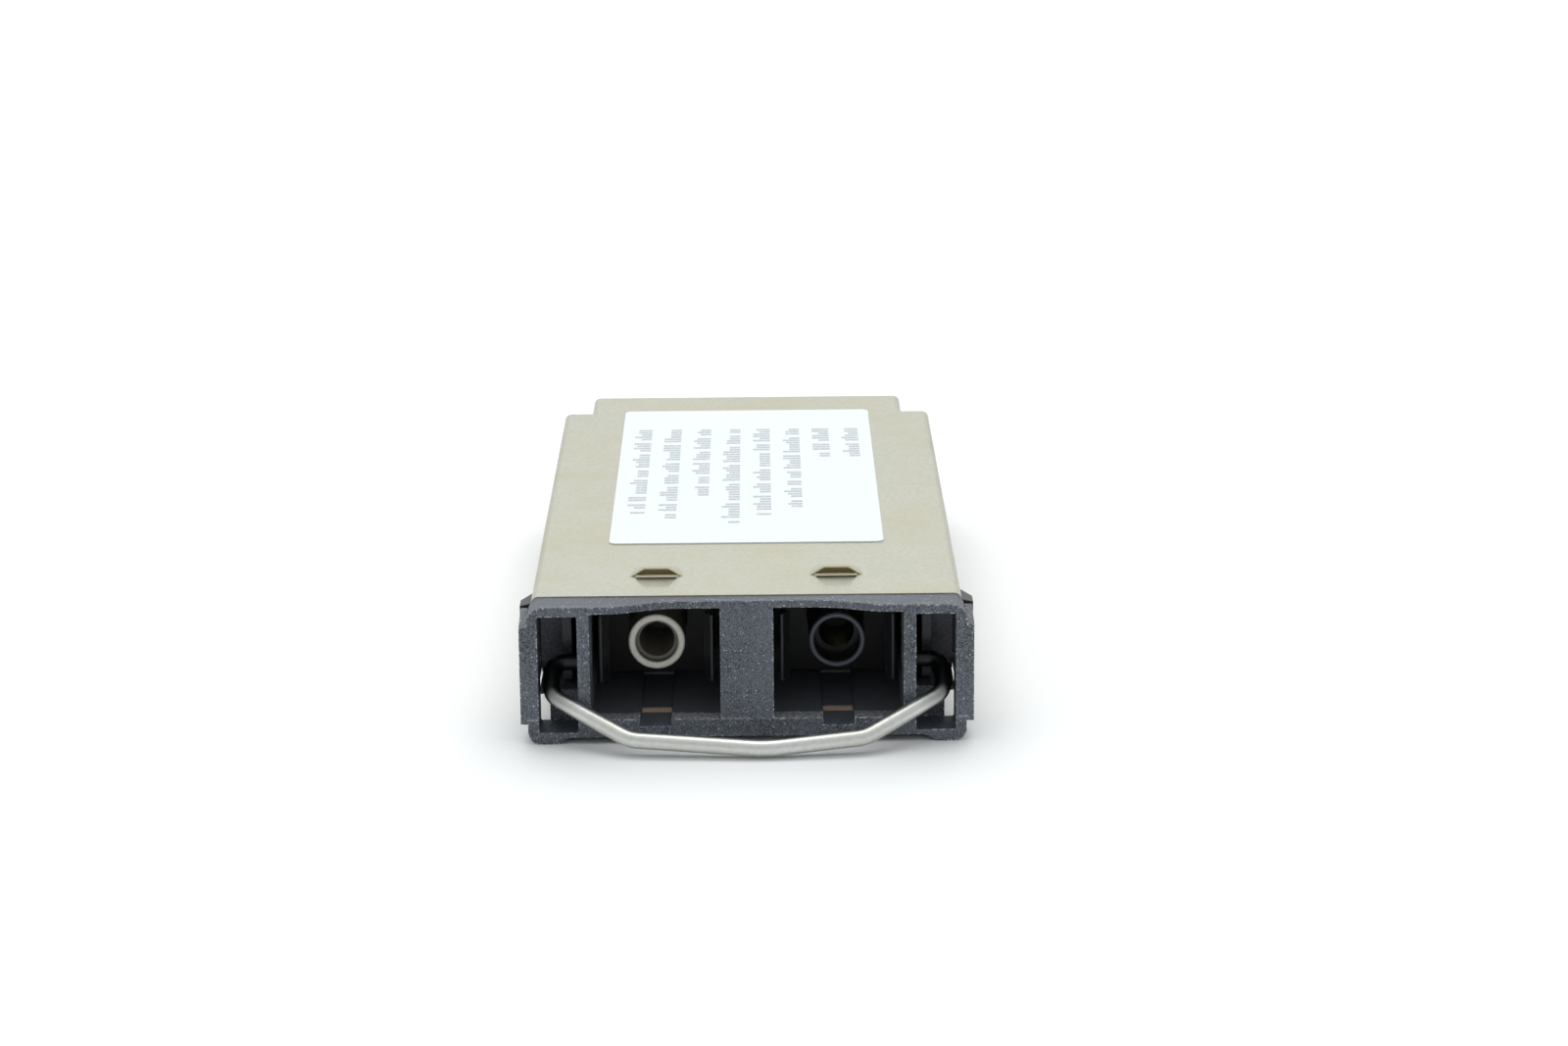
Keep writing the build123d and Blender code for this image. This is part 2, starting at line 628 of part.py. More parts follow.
# ---- top cover -------------------------------------------------------------------------------
def cover_profile(half_width):
    """Upside-down U section of the top cover with rounded outer bends."""
    inner = half_width - SHEET
    with BuildLine() as outline:
        FilletPolyline(
            (-half_width, FLANGE_BOTTOM),
            (-half_width, COVER_TOP),
            (half_width, COVER_TOP),
            (half_width, FLANGE_BOTTOM),
            radius=COVER_BEND_RADIUS,
        )
        Polyline(
            (half_width, FLANGE_BOTTOM),
            (inner, FLANGE_BOTTOM),
            (inner, COVER_TOP - SHEET),
            (-inner, COVER_TOP - SHEET),
            (-inner, FLANGE_BOTTOM),
            (-half_width, FLANGE_BOTTOM),
        )
    make_face(outline.edges())


def trapezoid(base_width, crest_width, bottom, top):
    """Face wider at the bottom, on the plane of the sketch that it is called in."""
    with BuildLine() as outline:
        Polyline(
            (-base_width / 2, bottom),
            (base_width / 2, bottom),
            (crest_width / 2, top),
            (-crest_width / 2, top),
            close=True,
        )
    make_face(outline.edges())


def louvre_solid(inset, front_height, back_height):
    """Tapered hood from the slit to the back of a lance, inset from the outer faces."""
    floor = COVER_TOP - SHEET / 2
    base_width = LANCE_BASE_WIDTH - 2 * inset
    crest_width = LANCE_CREST_WIDTH - inset
    with BuildSketch(cross_plane(LANCE_SLIT)) as front:
        trapezoid(base_width, crest_width, floor, COVER_TOP + front_height)
    with BuildSketch(cross_plane(LANCE_BACK - inset)) as back:
        trapezoid(base_width, crest_width, floor, COVER_TOP + back_height)
    return loft([front.sketch, back.sketch], mode=Mode.PRIVATE)


def add_lance(centre_x):
    """Pressed lance: a ramp dips to a slit in the sheet, and a louvre rises behind the slit."""
    inside = COVER_TOP - SHEET
    at_x = Pos(centre_x, 0, 0)
    # opening under the louvre and in front of it
    with BuildSketch(Plane.XY.offset(inside), mode=Mode.PRIVATE) as opening:
        with BuildLine():
            Polyline(
                (-LANCE_RAMP_FRONT_WIDTH / 2, depth(LANCE_RAMP_FRONT)),
                (LANCE_RAMP_FRONT_WIDTH / 2, depth(LANCE_RAMP_FRONT)),
                (LANCE_RAMP_BACK_WIDTH / 2, depth(LANCE_SLIT)),
                (LANCE_RAMP_BACK_WIDTH / 2, depth(LANCE_OPENING_BACK)),
                (-LANCE_RAMP_BACK_WIDTH / 2, depth(LANCE_OPENING_BACK)),
                (-LANCE_RAMP_BACK_WIDTH / 2, depth(LANCE_SLIT)),
                close=True,
            )
        make_face()
    extrude(at_x * opening.sketch, amount=SHEET, mode=Mode.SUBTRACT)

    # ramp: a sloping tongue of the same sheet
    ramp_back = LANCE_SLIT - LANCE_WALL / 2
    with BuildSketch(cross_plane(LANCE_RAMP_FRONT), mode=Mode.PRIVATE) as ramp_start:
        with Locations((centre_x, COVER_TOP - SHEET / 2)):
            Rectangle(LANCE_RAMP_FRONT_WIDTH, SHEET)
    with BuildSketch(cross_plane(ramp_back), mode=Mode.PRIVATE) as ramp_end:
        with Locations((centre_x, COVER_TOP - SHEET / 2 - LANCE_RAMP_DROP)):
            Rectangle(LANCE_RAMP_BACK_WIDTH, SHEET)
    loft([ramp_start.sketch, ramp_end.sketch])

    # louvre: a hood that is open at the slit and dies away behind it
    hood = louvre_solid(0, LANCE_HEIGHT, LANCE_BACK_HEIGHT)
    hollow = louvre_solid(LANCE_WALL, LANCE_HEIGHT - LANCE_WALL, 0)
    add(at_x * hood)
    add(at_x * hollow, mode=Mode.SUBTRACT)


with BuildPart() as top_cover:
    with BuildSketch(cross_plane(COVER_FRONT)):
        cover_profile(COVER_HALF_WIDTH)
    extrude(amount=-(NOTCH_DEPTH - COVER_FRONT))
    with BuildSketch(cross_plane(NOTCH_DEPTH)):
        cover_profile(REAR_HALF_WIDTH)
    extrude(amount=-(COVER_BACK - NOTCH_DEPTH))
    for side in SIDES:
        # shoulder that joins the wide and narrow lengths of the case
        block(
            both(side, REAR_HALF_WIDTH - SHEET, COVER_HALF_WIDTH - SHEET / 2),
            (NOTCH_DEPTH - SHEET, NOTCH_DEPTH),
            (FLANGE_BOTTOM, COVER_TOP - SHEET / 2),
        )
        # window for the catch of the side latch
        block(
            both(side, COVER_HALF_WIDTH - 2 * SHEET, COVER_HALF_WIDTH + SHEET),
            (WINDOW_FRONT, WINDOW_BACK),
            (WINDOW_BOTTOM, WINDOW_TOP),
            Mode.SUBTRACT,
        )
        add_lance(side * PORT_X)
save(top_cover.part, "top_cover")


# ---- bottom cover ----------------------------------------------------------------------------
def tray_length(half_width, front, back):
    """Floor and two side walls of the bottom cover."""
    block((-half_width, half_width), (front, back), (0, SHEET))
    for side in SIDES:
        block(both(side, half_width - SHEET, half_width), (front, back), (0, TRAY_SHELF_BOTTOM))


def countersink(side, mode):
    """Add or cut the cone of a flat screw head in the floor of the bottom cover."""
    with Locations((side * BOSS_X, depth(COVER_SCREW_DEPTH), 0)):
        Cone(
            FLAT_HEAD_RADIUS,
            SCREW_RADIUS,
            SHEET,
            align=(Align.CENTER, Align.CENTER, Align.MIN),
            mode=mode,
        )


with BuildPart() as bottom_cover:
    tray_length(TRAY_HALF_WIDTH, TRAY_FRONT, NOTCH_DEPTH)
    tray_length(REAR_TRAY_HALF_WIDTH, NOTCH_DEPTH, COVER_BACK)
    for side in SIDES:
        shelf_span = both(side, TRAY_HALF_WIDTH - SHEET, TRAY_UPRIGHT_X)
        shelf_heights = (TRAY_SHELF_BOTTOM, TRAY_SHELF_BOTTOM + SHEET)
        block(shelf_span, (LEDGE_DEPTH, NOTCH_DEPTH - SHEET), shelf_heights)
        block(
            both(side, TRAY_UPRIGHT_X - SHEET, TRAY_UPRIGHT_X),
            (TRAY_UPRIGHT_FRONT, NOTCH_DEPTH - SHEET),
            (TRAY_SHELF_BOTTOM, TRAY_TOP),
        )
        block(
            both(side, REAR_TRAY_HALF_WIDTH - SHEET, REAR_TRAY_HALF_WIDTH),
            (NOTCH_DEPTH, COVER_BACK),
            (0, TRAY_TOP),
        )
        block(
            both(side, REAR_TRAY_HALF_WIDTH - SHEET, TRAY_HALF_WIDTH),
            (NOTCH_DEPTH - SHEET, NOTCH_DEPTH),
            (0, TRAY_SHELF_BOTTOM),
        )
        # countersunk hole for a cover screw
        countersink(side, Mode.SUBTRACT)
save(bottom_cover.part, "bottom_cover")


# ---- label -----------------------------------------------------------------------------------
with BuildPart() as label:
    with BuildSketch(Plane.XY.offset(COVER_TOP)):
        with Locations((0, depth((LABEL_FRONT + LABEL_BACK) / 2))):
            RectangleRounded(LABEL_WIDTH, LABEL_BACK - LABEL_FRONT, LABEL_CORNER_RADIUS)
    extrude(amount=LABEL_THICKNESS)
save(label.part, "label")


# ---- chassis frame ---------------------------------------------------------------------------
with BuildPart() as chassis_frame:
    cross_span = (-FRAME_OUTER_X, FRAME_OUTER_X)
    low_heights = (FRAME_BOTTOM, LOWER_LUG_TOP)
    block(cross_span, (FRAME_FRONT, YOKE_FRONT), low_heights)
    block(cross_span, (FRAME_BACK - CROSS_BAR, FRAME_BACK), low_heights)
    for side in SIDES:
        rail_span = both(side, FRAME_INNER_X, FRAME_OUTER_X)
        block(rail_span, (YOKE_POST_FRONT, FRAME_BACK), (FRAME_BOTTOM, BOARD_BOTTOM))
        # yoke that carries the upright latch pin between a lower and an upper lug
        yoke_span = both(side, YOKE_INNER_X, YOKE_OUTER_X)
        block(both(side, YOKE_INNER_X, FRAME_OUTER_X), (YOKE_FRONT, YOKE_POST_BACK), low_heights)
        block(yoke_span, (YOKE_POST_FRONT, YOKE_POST_BACK), (LOWER_LUG_TOP, LATCH_PIN_TOP))
        block(yoke_span, (YOKE_FRONT, YOKE_POST_BACK), (UPPER_LUG_BOTTOM, LATCH_PIN_TOP))
        with Locations((side * LATCH_PIN_X, depth(LATCH_PIN_DEPTH), LATCH_PIN_BOTTOM)):
            Cylinder(
                LATCH_PIN_RADIUS,
                LATCH_PIN_TOP - LATCH_PIN_BOTTOM,
                align=(Align.CENTER, Align.CENTER, Align.MIN),
                mode=Mode.SUBTRACT,
            )
        # screw bosses, each tied to its side rail
        for boss_depth in (BOARD_SCREW_DEPTH, COVER_SCREW_DEPTH):
            boss_place = (side * BOSS_X, depth(boss_depth), FRAME_BOTTOM)
            boss_height = BOARD_BOTTOM - FRAME_BOTTOM
            on_base = (Align.CENTER, Align.CENTER, Align.MIN)
            with Locations(boss_place):
                Cylinder(SCREW_BOSS_RADIUS, boss_height, align=on_base)
            block(
                both(side, BOSS_X, FRAME_OUTER_X),
                (boss_depth - CROSS_BAR / 2, boss_depth + CROSS_BAR / 2),
                (FRAME_BOTTOM, BOARD_BOTTOM - CROSS_BAR),
            )
            with Locations(boss_place):
                Cylinder(SCREW_RADIUS, boss_height, align=on_base, mode=Mode.SUBTRACT)
save(chassis_frame.part, "chassis_frame")


# ---- side latches, their pins and springs ----------------------------------------------------
def side_latch(side):
    """Latch lever: hub on the upright pin, thin arm forward, head with a catch that looks outward."""
    with BuildPart() as latch:
        arm_span = both(side, ARM_INNER_X, ARM_OUTER_X)
        block(arm_span, (ARM_FRONT, ARM_FULL_HEIGHT_BACK), (LATCH_BOTTOM, LATCH_TOP))
        block(arm_span, (ARM_FULL_HEIGHT_BACK, LATCH_PIN_DEPTH), (LATCH_BOTTOM, HUB_TOP))
        block(both(side, ARM_OUTER_X, HEAD_OUTER_X), (HEAD_FRONT, HEAD_BACK), (LATCH_BOTTOM, LATCH_TOP))
        with BuildSketch(Plane.XY.offset(CATCH_BOTTOM)):
            with BuildLine():
                Polyline(
                    (side * ARM_OUTER_X, depth(HEAD_FRONT)),
                    (side * HEAD_OUTER_X, depth(HEAD_FRONT)),
                    (side * CATCH_TIP_X, depth(CATCH_FRONT)),
                    (side * CATCH_TIP_X, depth(CATCH_TIP_BACK)),
                    (side * HEAD_OUTER_X, depth(HEAD_BACK)),
                    (side * ARM_OUTER_X, depth(HEAD_BACK)),
                    close=True,
                )
            make_face()
        extrude(amount=CATCH_TOP - CATCH_BOTTOM)
        with Locations((side * LATCH_PIN_X, depth(LATCH_PIN_DEPTH), LATCH_BOTTOM)):
            Cylinder(HUB_RADIUS, HUB_TOP - LATCH_BOTTOM, align=(Align.CENTER, Align.CENTER, Align.MIN))
            Cylinder(
                LATCH_PIN_RADIUS + PIN_CLEARANCE,
                HUB_TOP - LATCH_BOTTOM,
                align=(Align.CENTER, Align.CENTER, Align.MIN),
                mode=Mode.SUBTRACT,
            )
    return latch.part


def latch_pin(side):
    """Upright steel pin that the latch turns on."""
    with BuildPart() as pin:
        with Locations((side * LATCH_PIN_X, depth(LATCH_PIN_DEPTH), LATCH_PIN_BOTTOM)):
            Cylinder(
                LATCH_PIN_RADIUS,
                LATCH_PIN_TOP - LATCH_PIN_BOTTOM,
                align=(Align.CENTER, Align.CENTER, Align.MIN),
            )
    return pin.part


def latch_spring(side):
    """Torsion spring above the hub: a few turns round the pin and one leg along the arm."""
    centre = (side * LATCH_PIN_X, depth(LATCH_PIN_DEPTH), SPRING_BOTTOM)
    with BuildPart() as spring:
        with BuildLine() as coil:
            Helix(SPRING_PITCH, SPRING_PITCH * SPRING_TURNS, SPRING_RADIUS, center=centre)
        with BuildSketch(Plane(origin=coil.line @ 0, z_dir=coil.line % 0)):
            Circle(SPRING_WIRE_RADIUS)
        sweep(is_frenet=True)
        with BuildLine() as leg:
            Line(coil.line @ 0, coil.line @ 0 + Vector(0, -SPRING_LEG, 0))
        with BuildSketch(Plane(origin=leg.line @ 0, z_dir=leg.line % 0)):
            Circle(SPRING_WIRE_RADIUS)
        extrude(amount=SPRING_LEG)
    return spring.part


for side, side_name in ((-1, "left"), (1, "right")):
    save(side_latch(side), f"side_latch_{side_name}")
    save(latch_pin(side), f"latch_pin_{side_name}")
    save(latch_spring(side), f"latch_spring_{side_name}")


# ---- bail handle -----------------------------------------------------------------------------
rest = radians(BAIL_REST_ANGLE)
bail_plane = Plane(
    origin=(0, depth(PIVOT_DEPTH), PIVOT_Z),
    x_dir=(1, 0, 0),
    z_dir=(0, sin(rest), -cos(rest)),
)
with BuildPart() as bail_handle:
    with BuildLine(bail_plane) as bail_path:
        FilletPolyline(
            (-AXLE_END_X, 0),
            (-LEG_X, 0),
            (-LEG_X, LEG_REACH),
            (-SHOULDER_X, SHOULDER_REACH),
            (TIP_X, TIP_REACH),
            (SHOULDER_X, SHOULDER_REACH),
            (LEG_X, LEG_REACH),
            (LEG_X, 0),
            (AXLE_END_X, 0),
            radius=(
                ELBOW_RADIUS,
                LEG_BEND_RADIUS,
                SHOULDER_BEND_RADIUS,
                TIP_BEND_RADIUS,
                SHOULDER_BEND_RADIUS,
                LEG_BEND_RADIUS,
                ELBOW_RADIUS,
            ),
        )
    with BuildSketch(Plane(origin=bail_path.line @ 0, z_dir=bail_path.line % 0)):
        Circle(WIRE_RADIUS)
    sweep()
save(bail_handle.part, "bail_handle")


# ---- circuit board and its parts -------------------------------------------------------------
with BuildPart() as circuit_board:
    with BuildSketch(Plane.XY.offset(BOARD_BOTTOM)):
        with BuildLine():
            Polyline(
                (0, depth(BOARD_FRONT)),
                (BOARD_WAIST_HALF_WIDTH, depth(BOARD_FRONT)),
                (BOARD_WAIST_HALF_WIDTH, depth(BOARD_WAIST)),
                (BOARD_HALF_WIDTH, depth(BOARD_WAIST)),
                (BOARD_HALF_WIDTH, depth(BOARD_BACK)),
                (0, depth(BOARD_BACK)),
                close=True,
            )
        make_face()
        mirror(about=Plane.YZ)
        with Locations(*[(side * BOSS_X, depth(BOARD_SCREW_DEPTH)) for side in SIDES]):
            Circle(SCREW_RADIUS, mode=Mode.SUBTRACT)
    extrude(amount=BOARD_THICKNESS)
save(circuit_board.part, "circuit_board")


def chip(centre_x, distance, body, legs):
    """Moulded chip on the top of the board with a row of gull-wing legs along its two long sides."""
    width, length, height = body
    leg_count, leg_pitch, leg_reach = legs
    body_bottom = BOARD_TOP + CHIP_STANDOFF
    leg_middle = body_bottom + height / 2
    leg_width = leg_pitch / 2
    with BuildPart() as package:
        with Locations((centre_x, depth(distance), body_bottom)):
            Box(width, length, height, align=(Align.CENTER, Align.CENTER, Align.MIN))
        chamfer(package.edges().group_by(Axis.Z)[-1], height / 5)
        for side in SIDES:
            foot_x = centre_x + side * (width / 2 + leg_reach)
            with BuildSketch(cross_plane(distance), mode=Mode.PRIVATE) as leg:
                with BuildLine():
                    Polyline(
                        (centre_x + side * width / 4, leg_middle),
                        (foot_x - side * leg_reach / 2, leg_middle),
                        (foot_x - side * leg_reach / 2, BOARD_TOP + LEG_THICKNESS),
                        (foot_x, BOARD_TOP + LEG_THICKNESS),
                        (foot_x, BOARD_TOP),
                        (foot_x - side * (leg_reach / 2 + LEG_THICKNESS), BOARD_TOP),
                        (foot_x - side * (leg_reach / 2 + LEG_THICKNESS), leg_middle - LEG_THICKNESS),
                        (centre_x + side * width / 4, leg_middle - LEG_THICKNESS),
                        close=True,
                    )
                make_face()
            for index in range(leg_count):
                leg_y = (index - (leg_count - 1) / 2) * leg_pitch
                extrude(Pos(0, leg_y, 0) * leg.sketch, amount=leg_width / 2, both=True)
    return package.part


save(chip(-FRONT_CHIP_X, FRONT_CHIP_DEPTH, FLAT_CHIP_BODY, FINE_LEGS), "laser_driver_chip")
save(chip(FRONT_CHIP_X, FRONT_CHIP_DEPTH, FLAT_CHIP_BODY, FINE_LEGS), "receiver_amplifier_chip")
save(chip(0, MEMORY_CHIP_DEPTH, TALL_CHIP_BODY, COARSE_LEGS), "identity_memory_chip")
save(chip(SWITCH_CHIP_X, SWITCH_CHIP_DEPTH, TALL_CHIP_BODY, COARSE_LEGS), "power_switch_chip")

with BuildPart() as chip_capacitors:
    capacitor_width, capacitor_length, capacitor_height = CAPACITOR_SIZE
    for side in SIDES:
        for distance in CAPACITOR_DEPTHS:
            with Locations((side * FRONT_CHIP_X, depth(distance), BOARD_TOP)):
                with GridLocations(2 * capacitor_width, 1, 2, 1):
                    Box(
                        capacitor_width,
                        capacitor_length,
                        capacitor_height,
                        align=(Align.CENTER, Align.CENTER, Align.MIN),
                    )
save(chip_capacitors.part, "chip_capacitors")

with BuildPart() as power_inductors:
    inductor_width, inductor_length, inductor_height = INDUCTOR_SIZE
    for distance in INDUCTOR_DEPTHS:
        with Locations((INDUCTOR_X, depth(distance), BOARD_TOP)):
            Box(
                inductor_width,
                inductor_length,
                inductor_height,
                align=(Align.CENTER, Align.CENTER, Align.MIN),
            )
    chamfer(power_inductors.edges().group_by(Axis.Z)[-1], 2 * EDGE_SOFTENING)
save(power_inductors.part, "power_inductors")


# ---- edge connector --------------------------------------------------------------------------
def contact_boxes(grow, mode):
    """Two rows of straight contacts, one on each face of the tongue, grown by `grow` all round."""
    for face in SIDES:
        inner_z = OPTICAL_AXIS_Z + face * BOARD_THICKNESS / 2
        middle_z = inner_z + face * CONTACT_THICKNESS / 2
        for index in range(CONTACT_COUNT):
            contact_x = (index - (CONTACT_COUNT - 1) / 2) * CONTACT_PITCH
            with Locations((contact_x, depth((CONTACT_FRONT + CONTACT_BACK) / 2), middle_z)):
                Box(
                    CONTACT_WIDTH + 2 * grow,
                    CONTACT_BACK - CONTACT_FRONT + 2 * grow,
                    CONTACT_THICKNESS + 2 * grow,
                    mode=mode,
                )


with BuildPart() as edge_connector_housing:
    shroud_width = (-SHROUD_HALF_WIDTH, SHROUD_HALF_WIDTH)
    block(shroud_width, (SHROUD_FRONT, MODULE_LENGTH), (SHROUD_BOTTOM, SHROUD_TOP))
    fillet(edge_connector_housing.edges().filter_by(Axis.Y), 2 * EDGE_SOFTENING)
    block(
        (-SHROUD_HALF_WIDTH + SHROUD_WALL, SHROUD_HALF_WIDTH - SHROUD_WALL),
        (SHROUD_WALL_BACK, MODULE_LENGTH),
        (SHROUD_BOTTOM + SHROUD_WALL, SHROUD_TOP - SHROUD_WALL),
        Mode.SUBTRACT,
    )
    tongue_z = (OPTICAL_AXIS_Z - TONGUE_THICKNESS / 2, OPTICAL_AXIS_Z + TONGUE_THICKNESS / 2)
    block((-TONGUE_HALF_WIDTH, TONGUE_HALF_WIDTH), (SHROUD_WALL_BACK, TONGUE_BACK), tongue_z)
    contact_boxes(CONTACT_SEAT_GAP, Mode.SUBTRACT)
save(edge_connector_housing.part, "edge_connector_housing")

with BuildPart() as connector_contacts:
    contact_boxes(0, Mode.ADD)
save(connector_contacts.part, "connector_contacts")


# ---- screws ----------------------------------------------------------------------------------
with BuildPart() as board_screws:
    for side in SIDES:
        screw(
            Plane.XY.move(Location((side * BOSS_X, depth(BOARD_SCREW_DEPTH), BOARD_TOP))),
            SCREW_RADIUS,
            SCREW_LENGTH,
            SCREW_HEAD_RADIUS,
            HEAD_HEIGHT,
        )
save(board_screws.part, "board_screws")

with BuildPart() as cover_screws:
    for side in SIDES:
        countersink(side, Mode.ADD)
        with Locations((side * BOSS_X, depth(COVER_SCREW_DEPTH), 0)):
            Cylinder(SCREW_RADIUS, SCREW_LENGTH, align=(Align.CENTER, Align.CENTER, Align.MIN))
            Box(
                SCREW_HEAD_RADIUS,
                DRIVE_SLOT,
                DRIVE_SLOT_DEPTH,
                align=(Align.CENTER, Align.CENTER, Align.MIN),
                mode=Mode.SUBTRACT,
            )
save(cover_screws.part, "cover_screws")
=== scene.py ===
"""Looks of the duplex-SC transceiver module: materials, label print, floor, soft light and camera.

Metres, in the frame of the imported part: +X right seen from the ports, +Y back, +Z up. Names that
end in _MM are in millimetres. Colours are linear.
"""

import json
import math
import random

import bmesh
import bpy
from mathutils import Matrix, Vector


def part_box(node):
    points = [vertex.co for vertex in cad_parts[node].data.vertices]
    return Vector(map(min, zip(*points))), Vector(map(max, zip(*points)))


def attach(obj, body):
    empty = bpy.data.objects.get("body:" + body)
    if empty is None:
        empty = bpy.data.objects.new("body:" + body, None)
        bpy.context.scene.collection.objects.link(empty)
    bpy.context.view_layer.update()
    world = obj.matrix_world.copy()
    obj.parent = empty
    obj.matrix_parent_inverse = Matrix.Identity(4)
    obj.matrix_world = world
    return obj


MM = 0.001

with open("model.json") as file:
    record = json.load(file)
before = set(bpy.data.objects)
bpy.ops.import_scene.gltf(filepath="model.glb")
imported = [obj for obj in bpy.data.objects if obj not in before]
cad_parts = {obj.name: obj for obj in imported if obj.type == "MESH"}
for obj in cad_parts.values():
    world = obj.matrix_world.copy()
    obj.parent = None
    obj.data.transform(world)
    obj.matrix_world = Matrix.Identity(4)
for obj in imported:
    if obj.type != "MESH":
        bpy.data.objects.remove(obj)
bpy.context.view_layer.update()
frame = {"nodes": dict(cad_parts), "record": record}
nodes = frame["nodes"]
nose_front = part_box("nose_bezel")[0].y


# ---- shader nodes ------------------------------------------------------------------------------
NOISE_ROUGHNESS = 0.55
NOISE_LOW = 0.3                 # most of a noise's values are between these two
NOISE_HIGH = 0.7
SPECK_CORE = 0.3                # share of a speck's radius that is fully bright
BEVEL_SAMPLES = 4
EDGE_START = 0.99               # cosines of the angle between the rounded and the true normal
EDGE_FULL = 0.82


def add_node(tree, kind, inputs=None, **settings):
    """Add a shader node. An input that is given a socket is linked to it; any other value is set."""
    made = tree.nodes.new(kind)
    for key, value in settings.items():
        setattr(made, key, value)
    for key, value in (inputs or {}).items():
        if isinstance(value, bpy.types.NodeSocket):
            tree.links.new(value, made.inputs[key])
        else:
            made.inputs[key].default_value = value
    return made


def coordinates(tree, stretch=(1, 1, 1)):
    """Place on the part in metres, with each axis multiplied by its stretch."""
    place = add_node(tree, "ShaderNodeTexCoord").outputs["Object"]
    return add_node(tree, "ShaderNodeMapping", {"Vector": place, "Scale": stretch}).outputs["Vector"]


def split(tree, vector):
    """The outputs "X", "Y" and "Z" of a vector."""
    return add_node(tree, "ShaderNodeSeparateXYZ", {"Vector": vector}).outputs


def place_on_part(tree):
    """X, Y and Z of a place on the part, in metres."""
    return split(tree, add_node(tree, "ShaderNodeTexCoord").outputs["Object"])


def way_faced(tree):
    """X, Y and Z of the way that a face looks."""
    return split(tree, add_node(tree, "ShaderNodeNewGeometry").outputs["True Normal"])


def noise(tree, feature_mm, stretch=(1, 1, 1), detail=3.0):
    """Soft noise from 0 to 1, with features of about that size."""
    made = add_node(
        tree,
        "ShaderNodeTexNoise",
        {
            "Vector": coordinates(tree, stretch),
            "Scale": 1 / (feature_mm * MM),
            "Detail": detail,
            "Roughness": NOISE_ROUGHNESS,
        },
    )
    return made.outputs["Fac"]


def remap(tree, value, low, high, to_low=0.0, to_high=1.0):
    """Value between low and high, spread over the new span and clamped to it."""
    made = add_node(
        tree,
        "ShaderNodeMapRange",
        {"Value": value, "From Min": low, "From Max": high, "To Min": to_low, "To Max": to_high},
    )
    return made.outputs["Result"]


def vary(tree, pattern, low, high):
    """Value that goes from low to high with a noise."""
    return remap(tree, pattern, NOISE_LOW, NOISE_HIGH, low, high)


def ramp(tree, value, zero_mm, one_mm, start=0.0):
    """0 to 1 as a place in metres goes from zero_mm to one_mm, both counted from the start."""
    return remap(tree, value, start + zero_mm * MM, start + one_mm * MM)


def calculate(tree, operation, first, second=0.0):
    """Result of one operation on one or two values."""
    return add_node(tree, "ShaderNodeMath", {0: first, 1: second}, operation=operation).outputs["Value"]


def product(tree, first, *others):
    """All the values multiplied together."""
    for other in others:
        first = calculate(tree, "MULTIPLY", first, other)
    return first


def blend(tree, factor, first, second):
    """Colour that goes from the first to the second as factor goes from 0 to 1."""
    made = add_node(tree, "ShaderNodeMix", {0: factor, 6: first, 7: second}, data_type="RGBA")
    return made.outputs[2]


def specks(tree, spacing_mm, share, size):
    """Scattered grains, from 0 to 1. Share is the part of the cells that hold one."""
    cells = add_node(
        tree,
        "ShaderNodeTexVoronoi",
        {"Vector": coordinates(tree), "Scale": 1 / (spacing_mm * MM)},
    )
    near = remap(tree, cells.outputs["Distance"], size * SPECK_CORE, size, 1.0, 0.0)
    pick = add_node(tree, "ShaderNodeSeparateColor", {"Color": cells.outputs["Color"]}).outputs["Red"]
    chosen = remap(tree, pick, 1 - share, 1.0)
    return product(tree, near, chosen)


def edge_wear(tree, radius_mm):
    """(normal rounded over sharp edges, how much of an edge a place is on)."""
    bevel = add_node(tree, "ShaderNodeBevel", {"Radius": radius_mm * MM}, samples=BEVEL_SAMPLES)
    soft = bevel.outputs["Normal"]
    true = add_node(tree, "ShaderNodeNewGeometry").outputs["Normal"]
    turned = add_node(tree, "ShaderNodeVectorMath", {0: soft, 1: true}, operation="DOT_PRODUCT")
    return soft, remap(tree, turned.outputs["Value"], EDGE_START, EDGE_FULL)


def rgba(colour):
    """Linear colour with full alpha."""
    return (*colour, 1.0)


def shaded(colour, factor):
    """The colour made lighter or darker by a factor."""
    return tuple(min(1.0, channel * factor) for channel in colour)


def tint_edges(tree, edge, share, base, colour):
    """The base, with that share of the colour on its worn edges."""
    return blend(tree, product(tree, edge, share), base, rgba(colour))


def new_tree(name):
    """(material, its empty node tree)."""
    material = bpy.data.materials.new(name)
    material.use_nodes = True
    material.node_tree.nodes.clear()
    return material, material.node_tree


def close_tree(tree, colour, roughness, height, depth_mm, normal, metallic=0.0):
    """Principled surface from the given sockets, with the height as bump of that depth."""
    bump = add_node(
        tree,
        "ShaderNodeBump",
        {"Height": height, "Strength": 1.0, "Distance": depth_mm * MM, "Normal": normal},
    )
    surface = add_node(
        tree,
        "ShaderNodeBsdfPrincipled",
        {"Base Color": colour, "Roughness": roughness, "Normal": bump.outputs["Normal"]},
    )
    surface.inputs["Metallic"].default_value = metallic
    add_node(tree, "ShaderNodeOutputMaterial", {"Surface": surface.outputs["BSDF"]})


